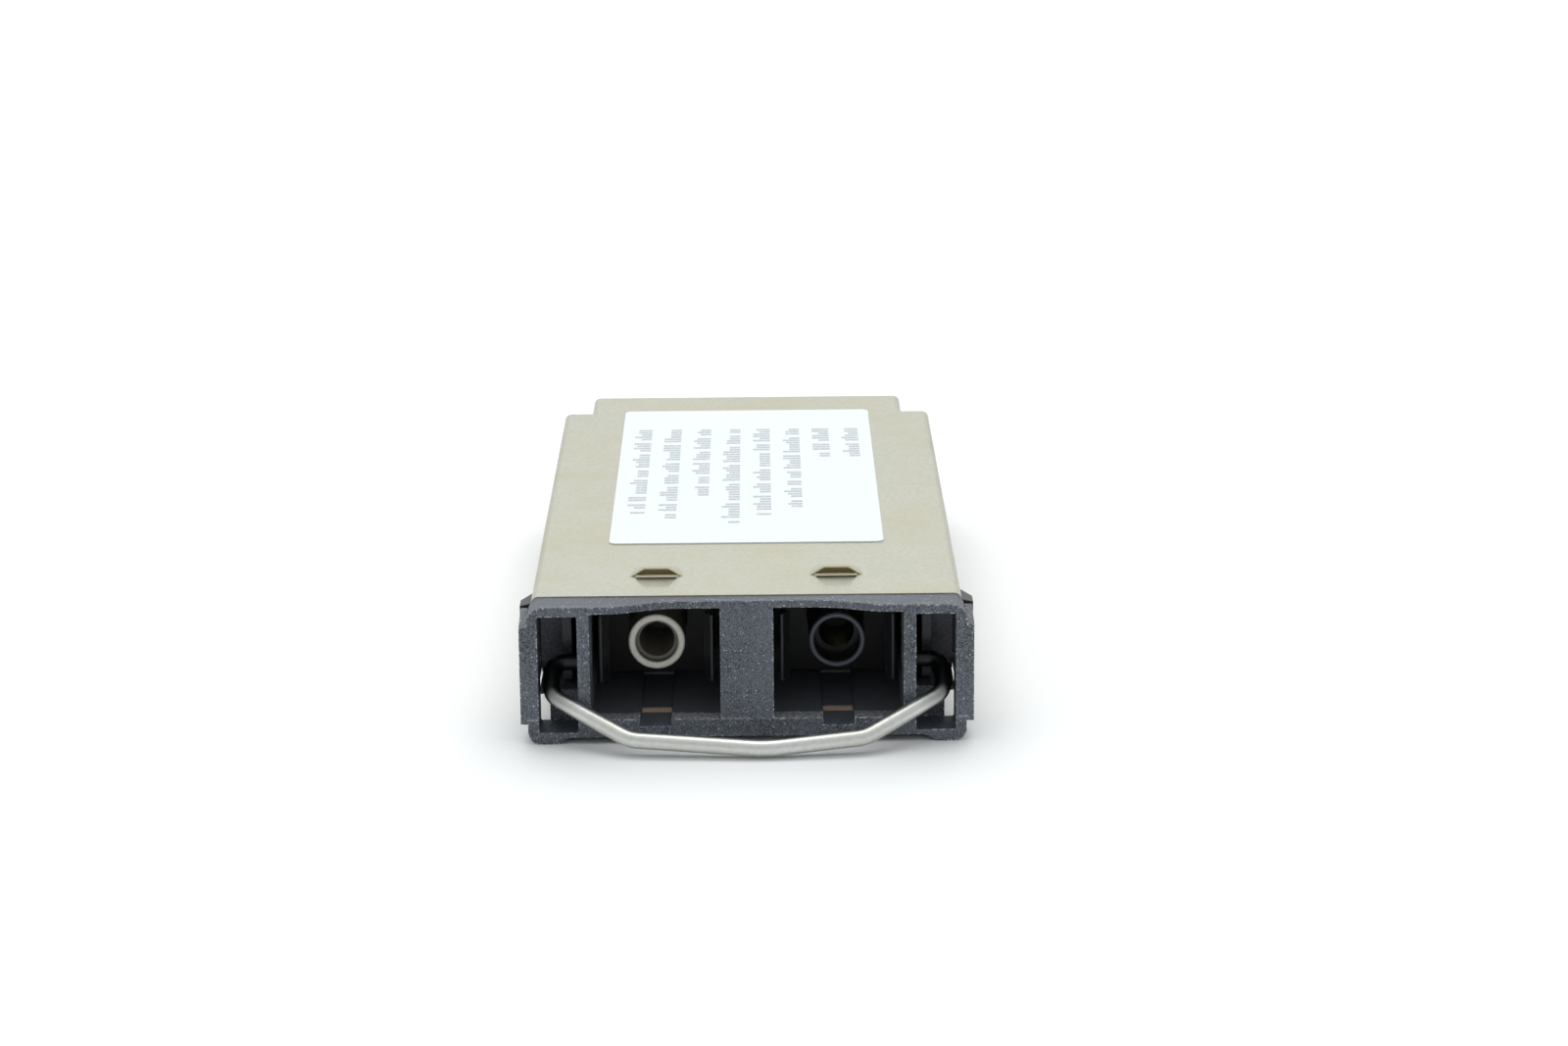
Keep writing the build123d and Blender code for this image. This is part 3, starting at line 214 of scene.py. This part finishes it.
# ---- places with a finish of their own, and places of painted light and shade ------------------
# Depths are measured back from the front of the nose, and heights up from the floor.
FADE_MM = 0.1                   # how soft the border of such a place is
PORT_X_MM = 6.35                # from the middle of the module to that of a port and its lance
PORTS_HALF_MM = 11.3            # from the middle to just past the outer wall of a port
PORT_CEILING_MM = 9.45          # height just above the ceiling of the ports
LIP_MM = 1.4                    # depth where the lip at the front of the ports ends
LIP_TOP_MM = 1.77               # height of the floor on that lip
LIP_LEVEL_MM = 0.02             # the painted highlight is full this near to that height,
LIP_SPREAD_MM = 0.12            # and not at all this far from it
POLISH_AND_LIGHT_MM = 0.5                 # length in which the polish and the painted light behind the lip take over
LANCE_HALF_MM = 2.25            # just over half the width of a lance
LANCE_FRONT_MM = 7.74           # depth just ahead of the sheared front edge of its hood
LANCE_EDGE_MM = 0.04            # how soft the border there is
LANCE_BACK_MM = 10.4            # depth of the end of its hood
LANCE_FLOOR_MM = 9.76           # height just under the outside face of the cover
LANCE_SINK_MM = 0.08            # how far under that height the painted light is full
LANCE_BOTTOM_MM = 9.25          # height just under the lowest part of a lance
SLOT_SHADE_START_MM = -1.2          # depths at which the painted shade on the bail, inside its pivot slots, starts and is full
SLOT_SHADE_FULL_MM = 0.4
SLOT_SHADE_SHARE = 0.97             # how much of the wire's colour the painted shade covers there


def inside_ports(tree):
    """How far a place on the nose is inside the ports and behind their lip, from 0 to 1."""
    place = place_on_part(tree)
    deep = ramp(tree, place["Y"], LIP_MM, LIP_MM + POLISH_AND_LIGHT_MM, nose_front)
    below = ramp(tree, place["Z"], PORT_CEILING_MM, PORT_CEILING_MM - FADE_MM)
    aside = calculate(tree, "ABSOLUTE", place["X"])
    between = ramp(tree, aside, PORTS_HALF_MM, PORTS_HALF_MM - FADE_MM)
    return product(tree, deep, below, between)


def lip_painted_highlight(tree):
    """Painted highlight in patches on the top of the floor lip of the ports, from 0 to 1."""
    place = place_on_part(tree)
    low = ramp(tree, place["Z"], LIP_TOP_MM - LIP_SPREAD_MM, LIP_TOP_MM - LIP_LEVEL_MM)
    high = ramp(tree, place["Z"], LIP_TOP_MM + LIP_SPREAD_MM, LIP_TOP_MM + LIP_LEVEL_MM)
    shallow = ramp(tree, place["Y"], LIP_MM + FADE_MM, LIP_MM, nose_front)
    patches = remap(tree, noise(tree, feature_mm=0.22), 0.42, 0.62)
    return product(tree, low, high, shallow, patches)


def wire_shade_in_slots(tree):
    """How much painted shade a place on the bail gets near and inside its pivot slots, from 0 to 1."""
    in_shade = ramp(tree, place_on_part(tree)["Y"], SLOT_SHADE_START_MM, SLOT_SHADE_FULL_MM, nose_front)
    return product(tree, in_shade, SLOT_SHADE_SHARE)


def lance_painted_light(tree):
    """Painted light on the lances, from 0 to 1: a painted highlight on the hood's sheared front edge, and
    painted light on its inside and its floor.
    """
    place = place_on_part(tree)
    aside = calculate(tree, "SUBTRACT", calculate(tree, "ABSOLUTE", place["X"]), PORT_X_MM * MM)
    across = ramp(tree, calculate(tree, "ABSOLUTE", aside), LANCE_HALF_MM + FADE_MM, LANCE_HALF_MM)
    behind = ramp(tree, place["Y"], LANCE_FRONT_MM - LANCE_EDGE_MM, LANCE_FRONT_MM, nose_front)
    ahead = ramp(tree, place["Y"], LANCE_BACK_MM, LANCE_BACK_MM - FADE_MM, nose_front)
    raised = ramp(tree, place["Z"], LANCE_BOTTOM_MM, LANCE_BOTTOM_MM + FADE_MM)
    facing = way_faced(tree)
    down = remap(tree, facing["Z"], -0.1, -0.3)
    forward = remap(tree, facing["Y"], -0.8, -0.95)
    sunk = ramp(tree, place["Z"], LANCE_FLOOR_MM, LANCE_FLOOR_MM - LANCE_SINK_MM)
    # painted highlight on faces that look forward, painted light on those that look down and on the sunk
    # floor
    bare = calculate(tree, "MAXIMUM", sunk, calculate(tree, "MAXIMUM", down, forward))
    return product(tree, across, behind, ahead, raised, bare)


# ---- kinds of material -------------------------------------------------------------------------
SPECK_COLOUR = (0.62, 0.64, 0.68)
SCUFF_COLOUR = (0.8, 0.82, 0.85)
RIM_MM = 0.05                   # depth of the pale rim of a sleeve holder (on the black one a painted highlight); behind it is painted shade
TARNISH = (0.84, 0.79, 0.7)     # what a tarnished cloud keeps of the metal's colour
LINE_SCALE = 0.03               # scale along the lines in rolled metal: the smaller, the longer they are
MASK_DARK = (0.006, 0.075, 0.032)
MASK_LIGHT = (0.009, 0.1, 0.045)
TRACK_GREEN = (0.02, 0.16, 0.06)
BARE_LAMINATE = (0.22, 0.24, 0.1)
INK_DARK = (0.42, 0.46, 0.5)
INK_WORN = (0.68, 0.71, 0.73)


def grained_colour(tree, colour, grain, contrast):
    """The colour, darker and lighter with the grain, and with faint clouds."""
    dark, light = rgba(shaded(colour, 1 - contrast)), rgba(shaded(colour, 1 + contrast))
    base = blend(tree, remap(tree, grain, 0.42, 0.58), dark, light)
    cloud = remap(tree, noise(tree, feature_mm=5.0), 0.35, 0.7, 0.0, 0.35)
    return blend(tree, cloud, base, rgba(shaded(colour, 1 + 1.5 * contrast)))


def grained_plastic(name, colour, roughness, grain_mm=0.16, depth_mm=0.012, contrast=0.4, edge_wear_and_highlight_lift=2.4):
    """Moulded plastic with a spark-eroded grain and lighter edges: wear, and a painted highlight where the
    lift is large.
    """
    material, tree = new_tree(name)
    rounded, edge = edge_wear(tree, radius_mm=0.12)
    grain = noise(tree, grain_mm)
    base = grained_colour(tree, colour, grain, contrast)
    # lighter edges: wear, and a painted highlight where the lift is large
    base = tint_edges(tree, edge, 0.35, base, shaded(colour, edge_wear_and_highlight_lift))
    gloss = vary(tree, grain, roughness - 0.08, roughness + 0.1)
    close_tree(tree, base, gloss, grain, depth_mm, rounded)
    return material


def barrel_plastic(name, rim_colour, bore_shade_colour, node):
    """Moulded sleeve holder: fine grain, with a rim of one colour and all behind it in painted shade."""
    material, tree = new_tree(name)
    rounded, edge = edge_wear(tree, radius_mm=0.06)
    inside = ramp(tree, place_on_part(tree)["Y"], RIM_MM, 3 * RIM_MM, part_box(node)[0].y)
    grain = noise(tree, feature_mm=0.2)
    base = grained_colour(tree, rim_colour, grain, contrast=0.05)
    base = tint_edges(tree, edge, 0.4, base, shaded(rim_colour, 1.15))
    # painted shade: everything behind the rim
    base = blend(tree, inside, base, rgba(bore_shade_colour))
    gloss = vary(tree, grain, 0.36, 0.48)
    close_tree(tree, base, gloss, grain, 0.001, rounded)
    return material


def nose_plastic(name, colour, port_light_colour):
    """Mineral-filled plastic, textured and specked outside, with a painted highlight on the lip of the
    ports, and polished inside the ports, where its colour is painted light.
    """
    material, tree = new_tree(name)
    rounded, edge = edge_wear(tree, radius_mm=0.18)
    inside = inside_ports(tree)
    grain = noise(tree, feature_mm=0.09)
    bright = specks(tree, spacing_mm=0.2, share=0.2, size=0.36)
    base = grained_colour(tree, colour, grain, contrast=0.85)
    # painted highlight on the top of the lip at the front of the ports
    base = blend(tree, lip_painted_highlight(tree), base, rgba(shaded(SPECK_COLOUR, 0.45)))
    base = blend(tree, product(tree, bright, 0.9), base, rgba(SPECK_COLOUR))
    base = tint_edges(tree, edge, 0.2, base, shaded(colour, 2.0))
    scuffs = product(tree, edge, specks(tree, spacing_mm=0.17, share=0.6, size=0.7))
    base = blend(tree, remap(tree, scuffs, 0.05, 0.45), base, rgba(SCUFF_COLOUR))
    # painted light inside the ports: a grey lighter than the nose's black, made darker on faces that look
    # up
    upward = remap(tree, way_faced(tree)["Z"], 0.3, 0.9)
    port_painted_light = blend(tree, upward, rgba(port_light_colour), rgba(shaded(port_light_colour, 0.65)))
    base = blend(tree, inside, base, port_painted_light)
    gloss = calculate(tree, "SUBTRACT", vary(tree, grain, 0.42, 0.6), product(tree, bright, 0.2))
    height = product(tree, grain, calculate(tree, "SUBTRACT", 1.0, inside))
    close_tree(tree, base, gloss, height, 0.028, rounded)
    return material


def rolled_metal(name, colour, roughness, grain_axis=1, stain=0.1, metallic=1.0, edge_mm=0.08, painted_patch=None):
    """Sheet or drawn metal with fine lines along one axis, faint stains, and bright edges that are partly
    wear and partly a painted highlight.

    The painted patch is painted light or shade, given as (a function that gives where it is, its colour).
    """
    material, tree = new_tree(name)
    rounded, edge = edge_wear(tree, edge_mm)
    stretch = [1.0, 1.0, 1.0]
    stretch[grain_axis] = LINE_SCALE
    lines = noise(tree, 0.07, stretch)
    mottle = noise(tree, 0.34, detail=5.0)
    cloud = noise(tree, 7.0, detail=4.0)
    dark, light = rgba(shaded(colour, 0.965)), rgba(shaded(colour, 1.025))
    base = blend(tree, vary(tree, lines, 0.0, 1.0), dark, light)
    base = blend(tree, remap(tree, mottle, 0.42, 0.7, 0.0, stain), base, rgba(shaded(colour, 0.66)))
    tarnish = tuple(channel * factor for channel, factor in zip(colour, TARNISH))
    base = blend(tree, remap(tree, cloud, 0.4, 0.7, 0.0, stain * 1.5), base, rgba(tarnish))
    # lighter edges: partly wear, partly a painted highlight of edge glints
    base = tint_edges(tree, edge, 0.7, base, shaded(colour, 1.6))
    # painted light or shade, where the painted patch puts it
    if painted_patch:
        where, painted_patch_colour = painted_patch
        base = blend(tree, where(tree), base, rgba(painted_patch_colour))
    line_gloss = vary(tree, lines, roughness - 0.03, roughness + 0.03)
    gloss = calculate(tree, "ADD", line_gloss, vary(tree, cloud, -0.04, 0.06))
    close_tree(tree, base, gloss, lines, 0.0008, rounded, metallic)
    return material


def glossy_solid(name, colour, roughness, contrast, feature_mm=0.6, depth_mm=0.002):
    """Dense even material, such as ceramic, ferrite or chip resin, with slight clouds in it."""
    material, tree = new_tree(name)
    rounded, edge = edge_wear(tree, radius_mm=0.06)
    cloud = noise(tree, feature_mm)
    dark, light = rgba(shaded(colour, 1 - contrast)), rgba(shaded(colour, 1 + contrast))
    base = blend(tree, vary(tree, cloud, 0.0, 1.0), dark, light)
    base = tint_edges(tree, edge, 0.4, base, shaded(colour, 1.3))
    gloss = vary(tree, cloud, roughness - 0.04, roughness + 0.08)
    close_tree(tree, base, gloss, cloud, depth_mm, rounded)
    return material


def coated_paper(name, colour):
    """Label stock: near-white, with faint fibres and a slightly uneven surface."""
    material, tree = new_tree(name)
    rounded, edge = edge_wear(tree, radius_mm=0.05)
    fibres = noise(tree, 0.25, (1.0, 0.25, 1.0), detail=5.0)
    wave = noise(tree, 4.0, detail=2.0)
    base = blend(tree, remap(tree, fibres, 0.35, 0.7), rgba(colour), rgba(shaded(colour, 0.965)))
    base = tint_edges(tree, edge, 0.4, base, shaded(colour, 0.85))
    gloss = vary(tree, wave, 0.42, 0.52)
    height = calculate(tree, "ADD", product(tree, fibres, 0.3), wave)
    close_tree(tree, base, gloss, height, 0.012, rounded)
    return material


def circuit_laminate(name):
    """Green solder mask over copper tracks, with the bare glass weave at the cut edges."""
    material, tree = new_tree(name)
    rounded, edge = edge_wear(tree, radius_mm=0.06)
    tracks = add_node(
        tree,
        "ShaderNodeTexWave",
        {
            "Vector": coordinates(tree),
            "Scale": 55.0,
            "Distortion": 6.0,
            "Detail": 1.0,
            "Detail Scale": 60.0,
        },
        wave_profile="SIN",
    )
    raised = remap(tree, tracks.outputs["Fac"], 0.62, 0.68)
    weave = noise(tree, 0.3, (1.0, 0.5, 1.0))
    mask = blend(tree, remap(tree, weave, 0.35, 0.65), rgba(MASK_DARK), rgba(MASK_LIGHT))
    base = blend(tree, raised, mask, rgba(TRACK_GREEN))
    base = tint_edges(tree, edge, 0.6, base, BARE_LAMINATE)
    gloss = vary(tree, weave, 0.24, 0.34)
    close_tree(tree, base, gloss, raised, 0.02, rounded)
    return material


def ink(name):
    """Thermal print: mid-grey, and paler where the ribbon skipped."""
    material, tree = new_tree(name)
    rounded, _ = edge_wear(tree, radius_mm=0.02)
    skips = noise(tree, feature_mm=0.12)
    base = blend(tree, remap(tree, skips, 0.52, 0.66), rgba(INK_DARK), rgba(INK_WORN))
    gloss = vary(tree, skips, 0.5, 0.65)
    close_tree(tree, base, gloss, skips, 0.003, rounded)
    return material


# ---- materials of the part ---------------------------------------------------------------------
NOSE_BLACK = (0.066, 0.076, 0.091)
# painted light inside the ports, lighter than the nose's own black
PORT_PAINTED_LIGHT_GREY = (0.13, 0.14, 0.165)
INSERT_BLACK = (0.009, 0.01, 0.012)
CREAM_RIM = (0.88, 0.87, 0.76)
# painted shade in the bore of the cream sleeve holder
CREAM_BORE_PAINTED_SHADE = (0.15, 0.14, 0.1)
# painted highlight: grey on the front rim of the black sleeve holder
BLACK_RIM_HIGHLIGHT = (0.095, 0.1, 0.13)
# painted shade in the bore of the black sleeve holder
BLACK_BORE_PAINTED_SHADE = (0.004, 0.004, 0.005)
LATCH_BLACK = (0.035, 0.038, 0.048)
FRAME_BLACK = (0.03, 0.03, 0.033)
CONNECTOR_BLACK = (0.025, 0.026, 0.029)
COVER_BEIGE = (0.51, 0.507, 0.42)
# painted highlight and painted light in the lances
LANCE_LIGHT_COLOUR = (0.95, 0.87, 0.64)
WIRE_GREY = (0.66, 0.67, 0.64)
# painted shade: near-black for the wire inside the pivot slots
SLOT_SHADE_COLOUR = (0.014, 0.015, 0.018)
CLAMP_STEEL = (0.56, 0.55, 0.52)
SCREW_STEEL = (0.5, 0.49, 0.47)
PIN_STEEL = (0.6, 0.6, 0.6)
SPRING_STEEL = (0.45, 0.45, 0.44)
CAN_GOLD = (0.72, 0.62, 0.42)
PLATE_GOLD = (0.94, 0.66, 0.26)
COPPER = (0.85, 0.6, 0.42)
# painted shade: the sleeve deep in the bore, darkened far below zirconia's white
ZIRCONIA_PAINTED_SHADE = (0.2, 0.19, 0.155)
CHIP_BLACK = (0.018, 0.018, 0.02)
CAPACITOR_TAN = (0.42, 0.3, 0.17)
FERRITE_GREY = (0.05, 0.05, 0.055)
LABEL_WHITE = (0.76, 0.81, 0.79)

finishes = {
    "black_nose_plastic": nose_plastic("black_nose_plastic", NOSE_BLACK, PORT_PAINTED_LIGHT_GREY),
    "black_insert_plastic": grained_plastic(
        "black_insert_plastic",
        INSERT_BLACK,
        roughness=0.4,
        grain_mm=0.2,
        depth_mm=0.003,
        contrast=0.25,
        # a large lift: painted highlights on the edges of the latch hooks inside the ports
        edge_wear_and_highlight_lift=26.0,
    ),
    "cream_barrel_plastic": barrel_plastic(
        "cream_barrel_plastic", CREAM_RIM, CREAM_BORE_PAINTED_SHADE, "tx_sleeve_holder"
    ),
    # painted highlight on the front rim, painted shade in the bore
    "black_barrel_plastic": barrel_plastic(
        "black_barrel_plastic", BLACK_RIM_HIGHLIGHT, BLACK_BORE_PAINTED_SHADE, "rx_sleeve_holder"
    ),
    "latch_plastic": grained_plastic("latch_plastic", LATCH_BLACK, roughness=0.42, depth_mm=0.006),
    "frame_plastic": grained_plastic("frame_plastic", FRAME_BLACK, roughness=0.5, grain_mm=0.25),
    "connector_plastic": grained_plastic(
        "connector_plastic", CONNECTOR_BLACK, roughness=0.44, grain_mm=0.12, depth_mm=0.006, contrast=0.25
    ),
    "cover_metal": rolled_metal(
        "cover_metal",
        COVER_BEIGE,
        roughness=0.42,
        stain=0.4,
        metallic=0.7,
        edge_mm=0.03,
        # painted highlight on the lances' sheared edges and painted light inside their hoods
        painted_patch=(lance_painted_light, LANCE_LIGHT_COLOUR),
    ),
    "bail_wire": rolled_metal(
        "bail_wire",
        WIRE_GREY,
        roughness=0.36,
        grain_axis=0,
        stain=0.3,
        # painted shade on the bail wire where it runs back into the pivot slots
        painted_patch=(wire_shade_in_slots, SLOT_SHADE_COLOUR),
    ),
    "clamp_steel": rolled_metal("clamp_steel", CLAMP_STEEL, roughness=0.35, grain_axis=0),
    "screw_steel": rolled_metal("screw_steel", SCREW_STEEL, roughness=0.3, grain_axis=2),
    "pin_steel": rolled_metal("pin_steel", PIN_STEEL, roughness=0.22, grain_axis=2),
    "spring_steel": rolled_metal("spring_steel", SPRING_STEEL, roughness=0.3, grain_axis=2),
    "can_metal": rolled_metal("can_metal", CAN_GOLD, roughness=0.25),
    "gold_plate": rolled_metal("gold_plate", PLATE_GOLD, roughness=0.2, stain=0.06),
    "copper_alloy": rolled_metal("copper_alloy", COPPER, roughness=0.55, grain_axis=0, metallic=0.4),
    # painted shade: the sleeve's colour darkened for its place deep in the bore
    "zirconia": glossy_solid("zirconia", ZIRCONIA_PAINTED_SHADE, roughness=0.5, contrast=0.03),
    "chip_plastic": glossy_solid(
        "chip_plastic", CHIP_BLACK, roughness=0.45, contrast=0.3, feature_mm=0.08, depth_mm=0.006
    ),
    "capacitor_ceramic": glossy_solid(
        "capacitor_ceramic", CAPACITOR_TAN, roughness=0.4, contrast=0.2, feature_mm=0.2
    ),
    "ferrite": glossy_solid(
        "ferrite", FERRITE_GREY, roughness=0.5, contrast=0.3, feature_mm=0.15, depth_mm=0.008
    ),
    "label_paper": coated_paper("label_paper", LABEL_WHITE),
    "board_laminate": circuit_laminate("board_laminate"),
}

for row in frame["record"]["subparts"]:
    skins = nodes[row["node"]].data.materials
    skins.clear()
    skins.append(finishes[row["material_slot"]])


# ---- label print -------------------------------------------------------------------------------
LINE_LENGTHS_MM = (26.0, 28.0, 22.0, 29.5, 27.0, 24.5, 10.0, 10.0)  # from the left line to the right one
LINE_WIDTH_MM = 1.35
PRINT_MARGIN_MM = 0.52          # beside the first and the last line
PRINT_START_MM = 6.4            # from the back edge of the label to the start of the lines
INK_THICKNESS_MM = 0.008
BLOCK_STEP_MM = 0.72
BLOCK_GAP_MM = 0.2
BLOCK_WIDTHS = (0.62, 0.62, 0.8, 1.0)   # shares of the line's width
WORD_STEPS = (3, 8)             # fewest and most steps from one gap to the next


def printed_block(mesh, x_span, y_span, bottom, top):
    """One closed flat block of ink."""
    corners = [(x, y, z) for z in (bottom, top) for y in y_span for x in x_span]
    made = [mesh.verts.new(corner) for corner in corners]
    for face in ((0, 2, 3, 1), (4, 5, 7, 6), (0, 1, 5, 4), (2, 6, 7, 3), (0, 4, 6, 2), (1, 3, 7, 5)):
        mesh.faces.new([made[index] for index in face])


def print_label():
    """Lines of plain blocks where a label has its print. They run along the module."""
    chance = random.Random(12)
    low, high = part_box("label")
    pitch = (high.x - low.x - 2 * PRINT_MARGIN_MM * MM) / len(LINE_LENGTHS_MM)
    bottom = high.z - INK_THICKNESS_MM * MM / 2
    top = bottom + INK_THICKNESS_MM * MM
    mesh = bmesh.new()
    for line, length_mm in enumerate(LINE_LENGTHS_MM):
        line_x = low.x + PRINT_MARGIN_MM * MM + (line + 0.5) * pitch
        line_y = high.y - PRINT_START_MM * MM
        word_left = chance.randint(*WORD_STEPS)
        for index in range(int(length_mm / BLOCK_STEP_MM)):
            word_left -= 1
            if word_left == 0:
                word_left = chance.randint(*WORD_STEPS)
                continue
            block_y = line_y - index * BLOCK_STEP_MM * MM
            width = chance.choice(BLOCK_WIDTHS) * LINE_WIDTH_MM * MM
            base_x = line_x + LINE_WIDTH_MM * MM / 2
            block_end = block_y - (BLOCK_STEP_MM - BLOCK_GAP_MM) * MM
            printed_block(mesh, (base_x - width, base_x), (block_end, block_y), bottom, top)
    data = bpy.data.meshes.new("label_print")
    mesh.to_mesh(data)
    mesh.free()
    data.materials.append(ink("label_ink"))
    piece = bpy.data.objects.new("label_print", data)
    bpy.context.scene.collection.objects.link(piece)
    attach(piece, "case")


print_label()


# ---- floor and light ---------------------------------------------------------------------------
FLOOR_REACH = 3.0               # metres, from the middle to each side
FLOOR_CELLS = 8
FLOOR_GREY = (0.86, 0.87, 0.865)
FLOOR_PALE = (0.88, 0.885, 0.88)
SURROUND_DIM = (0.66, 0.678, 0.7)
SURROUND_BRIGHT = (0.82, 0.845, 0.85)
FOOTPRINT_CENTRE = Vector((0, 0, 0))


def lay_floor():
    """Plain pale sheet of paper, large enough to fill the view."""
    mesh = bmesh.new()
    bmesh.ops.create_grid(mesh, x_segments=FLOOR_CELLS, y_segments=FLOOR_CELLS, size=FLOOR_REACH)
    data = bpy.data.meshes.new("floor")
    mesh.to_mesh(data)
    mesh.free()
    material, tree = new_tree("floor_paper")
    tone = noise(tree, 30.0, detail=2.0)
    base = blend(tree, tone, rgba(FLOOR_GREY), rgba(FLOOR_PALE))
    flat = add_node(tree, "ShaderNodeNewGeometry").outputs["Normal"]
    gloss = vary(tree, tone, 0.7, 0.8)
    close_tree(tree, base, gloss, tone, 0.01, flat)
    data.materials.append(material)
    floor = bpy.data.objects.new("floor", data)
    bpy.context.scene.collection.objects.link(floor)


def softbox(name, place, size, power, colour):
    """Square area light that faces the part, with its size in metres and its power in watts."""
    lamp = bpy.data.lights.new(name, "AREA")
    lamp.shape = "SQUARE"
    lamp.size = size
    lamp.energy = power
    lamp.color = colour
    holder = bpy.data.objects.new(name, lamp)
    holder.location = place
    holder.rotation_mode = "QUATERNION"
    holder.rotation_quaternion = (FOOTPRINT_CENTRE - Vector(place)).to_track_quat("-Z", "Y")
    bpy.context.scene.collection.objects.link(holder)


def light_studio():
    """Surroundings a little brighter above and behind the part than in front of it, and two softboxes."""
    world = bpy.data.worlds.new("studio")
    world.use_nodes = True
    tree = world.node_tree
    direction = split(tree, add_node(tree, "ShaderNodeTexCoord").outputs["Generated"])
    above = remap(tree, direction["Z"], 0.62, 0.95)
    behind = remap(tree, direction["Y"], -0.1, 0.6)
    share = calculate(tree, "MAXIMUM", above, behind)
    tone = blend(tree, share, rgba(SURROUND_DIM), rgba(SURROUND_BRIGHT))
    tree.links.new(tone, tree.nodes["Background"].inputs["Color"])
    bpy.context.scene.world = world
    softbox("overhead_softbox", place=(0.0, 0.45, 1.0), size=1.2, power=8.4, colour=(1.0, 1.0, 1.0))
    softbox("left_softbox", place=(-1.1, 0.2, 0.8), size=0.6, power=0.8, colour=(1.0, 0.99, 0.97))
    bpy.context.scene.view_settings.view_transform = "Standard"


lay_floor()
light_studio()


# ---- camera ------------------------------------------------------------------------------------
CAMERA_AHEAD_MM = 255.4         # in front of the nose
CAMERA_HEIGHT_MM = 86.24
CAMERA_ASIDE_MM = 1.01
CAMERA_PITCH = 0.2692           # radians below level
CAMERA_YAW = 0.0064             # radians to the right
CAMERA_ROLL = 0.0082            # radians
LENS_MM = 89.02
SENSOR_WIDTH_MM = 36.0
CLIP_NEAR = 0.01                # metres
CLIP_FAR = 20.0


def place_camera():
    """Long lens that looks down at the ports from straight ahead."""
    forward = Vector((
        math.sin(CAMERA_YAW) * math.cos(CAMERA_PITCH),
        math.cos(CAMERA_YAW) * math.cos(CAMERA_PITCH),
        -math.sin(CAMERA_PITCH),
    ))
    level_right = Vector((math.cos(CAMERA_YAW), -math.sin(CAMERA_YAW), 0))
    level_down = forward.cross(level_right)
    right = math.cos(CAMERA_ROLL) * level_right + math.sin(CAMERA_ROLL) * level_down
    up = -(math.cos(CAMERA_ROLL) * level_down - math.sin(CAMERA_ROLL) * level_right)
    turn = Matrix((right, up, -forward)).transposed().to_4x4()
    place = Vector((CAMERA_ASIDE_MM * MM, nose_front - CAMERA_AHEAD_MM * MM, CAMERA_HEIGHT_MM * MM))
    lens = bpy.data.cameras.new("camera")
    lens.sensor_width = SENSOR_WIDTH_MM
    lens.lens = LENS_MM
    lens.clip_start = CLIP_NEAR
    lens.clip_end = CLIP_FAR
    holder = bpy.data.objects.new("camera", lens)
    holder.matrix_world = Matrix.Translation(place) @ turn
    bpy.context.scene.collection.objects.link(holder)
    bpy.context.scene.camera = holder


place_camera()
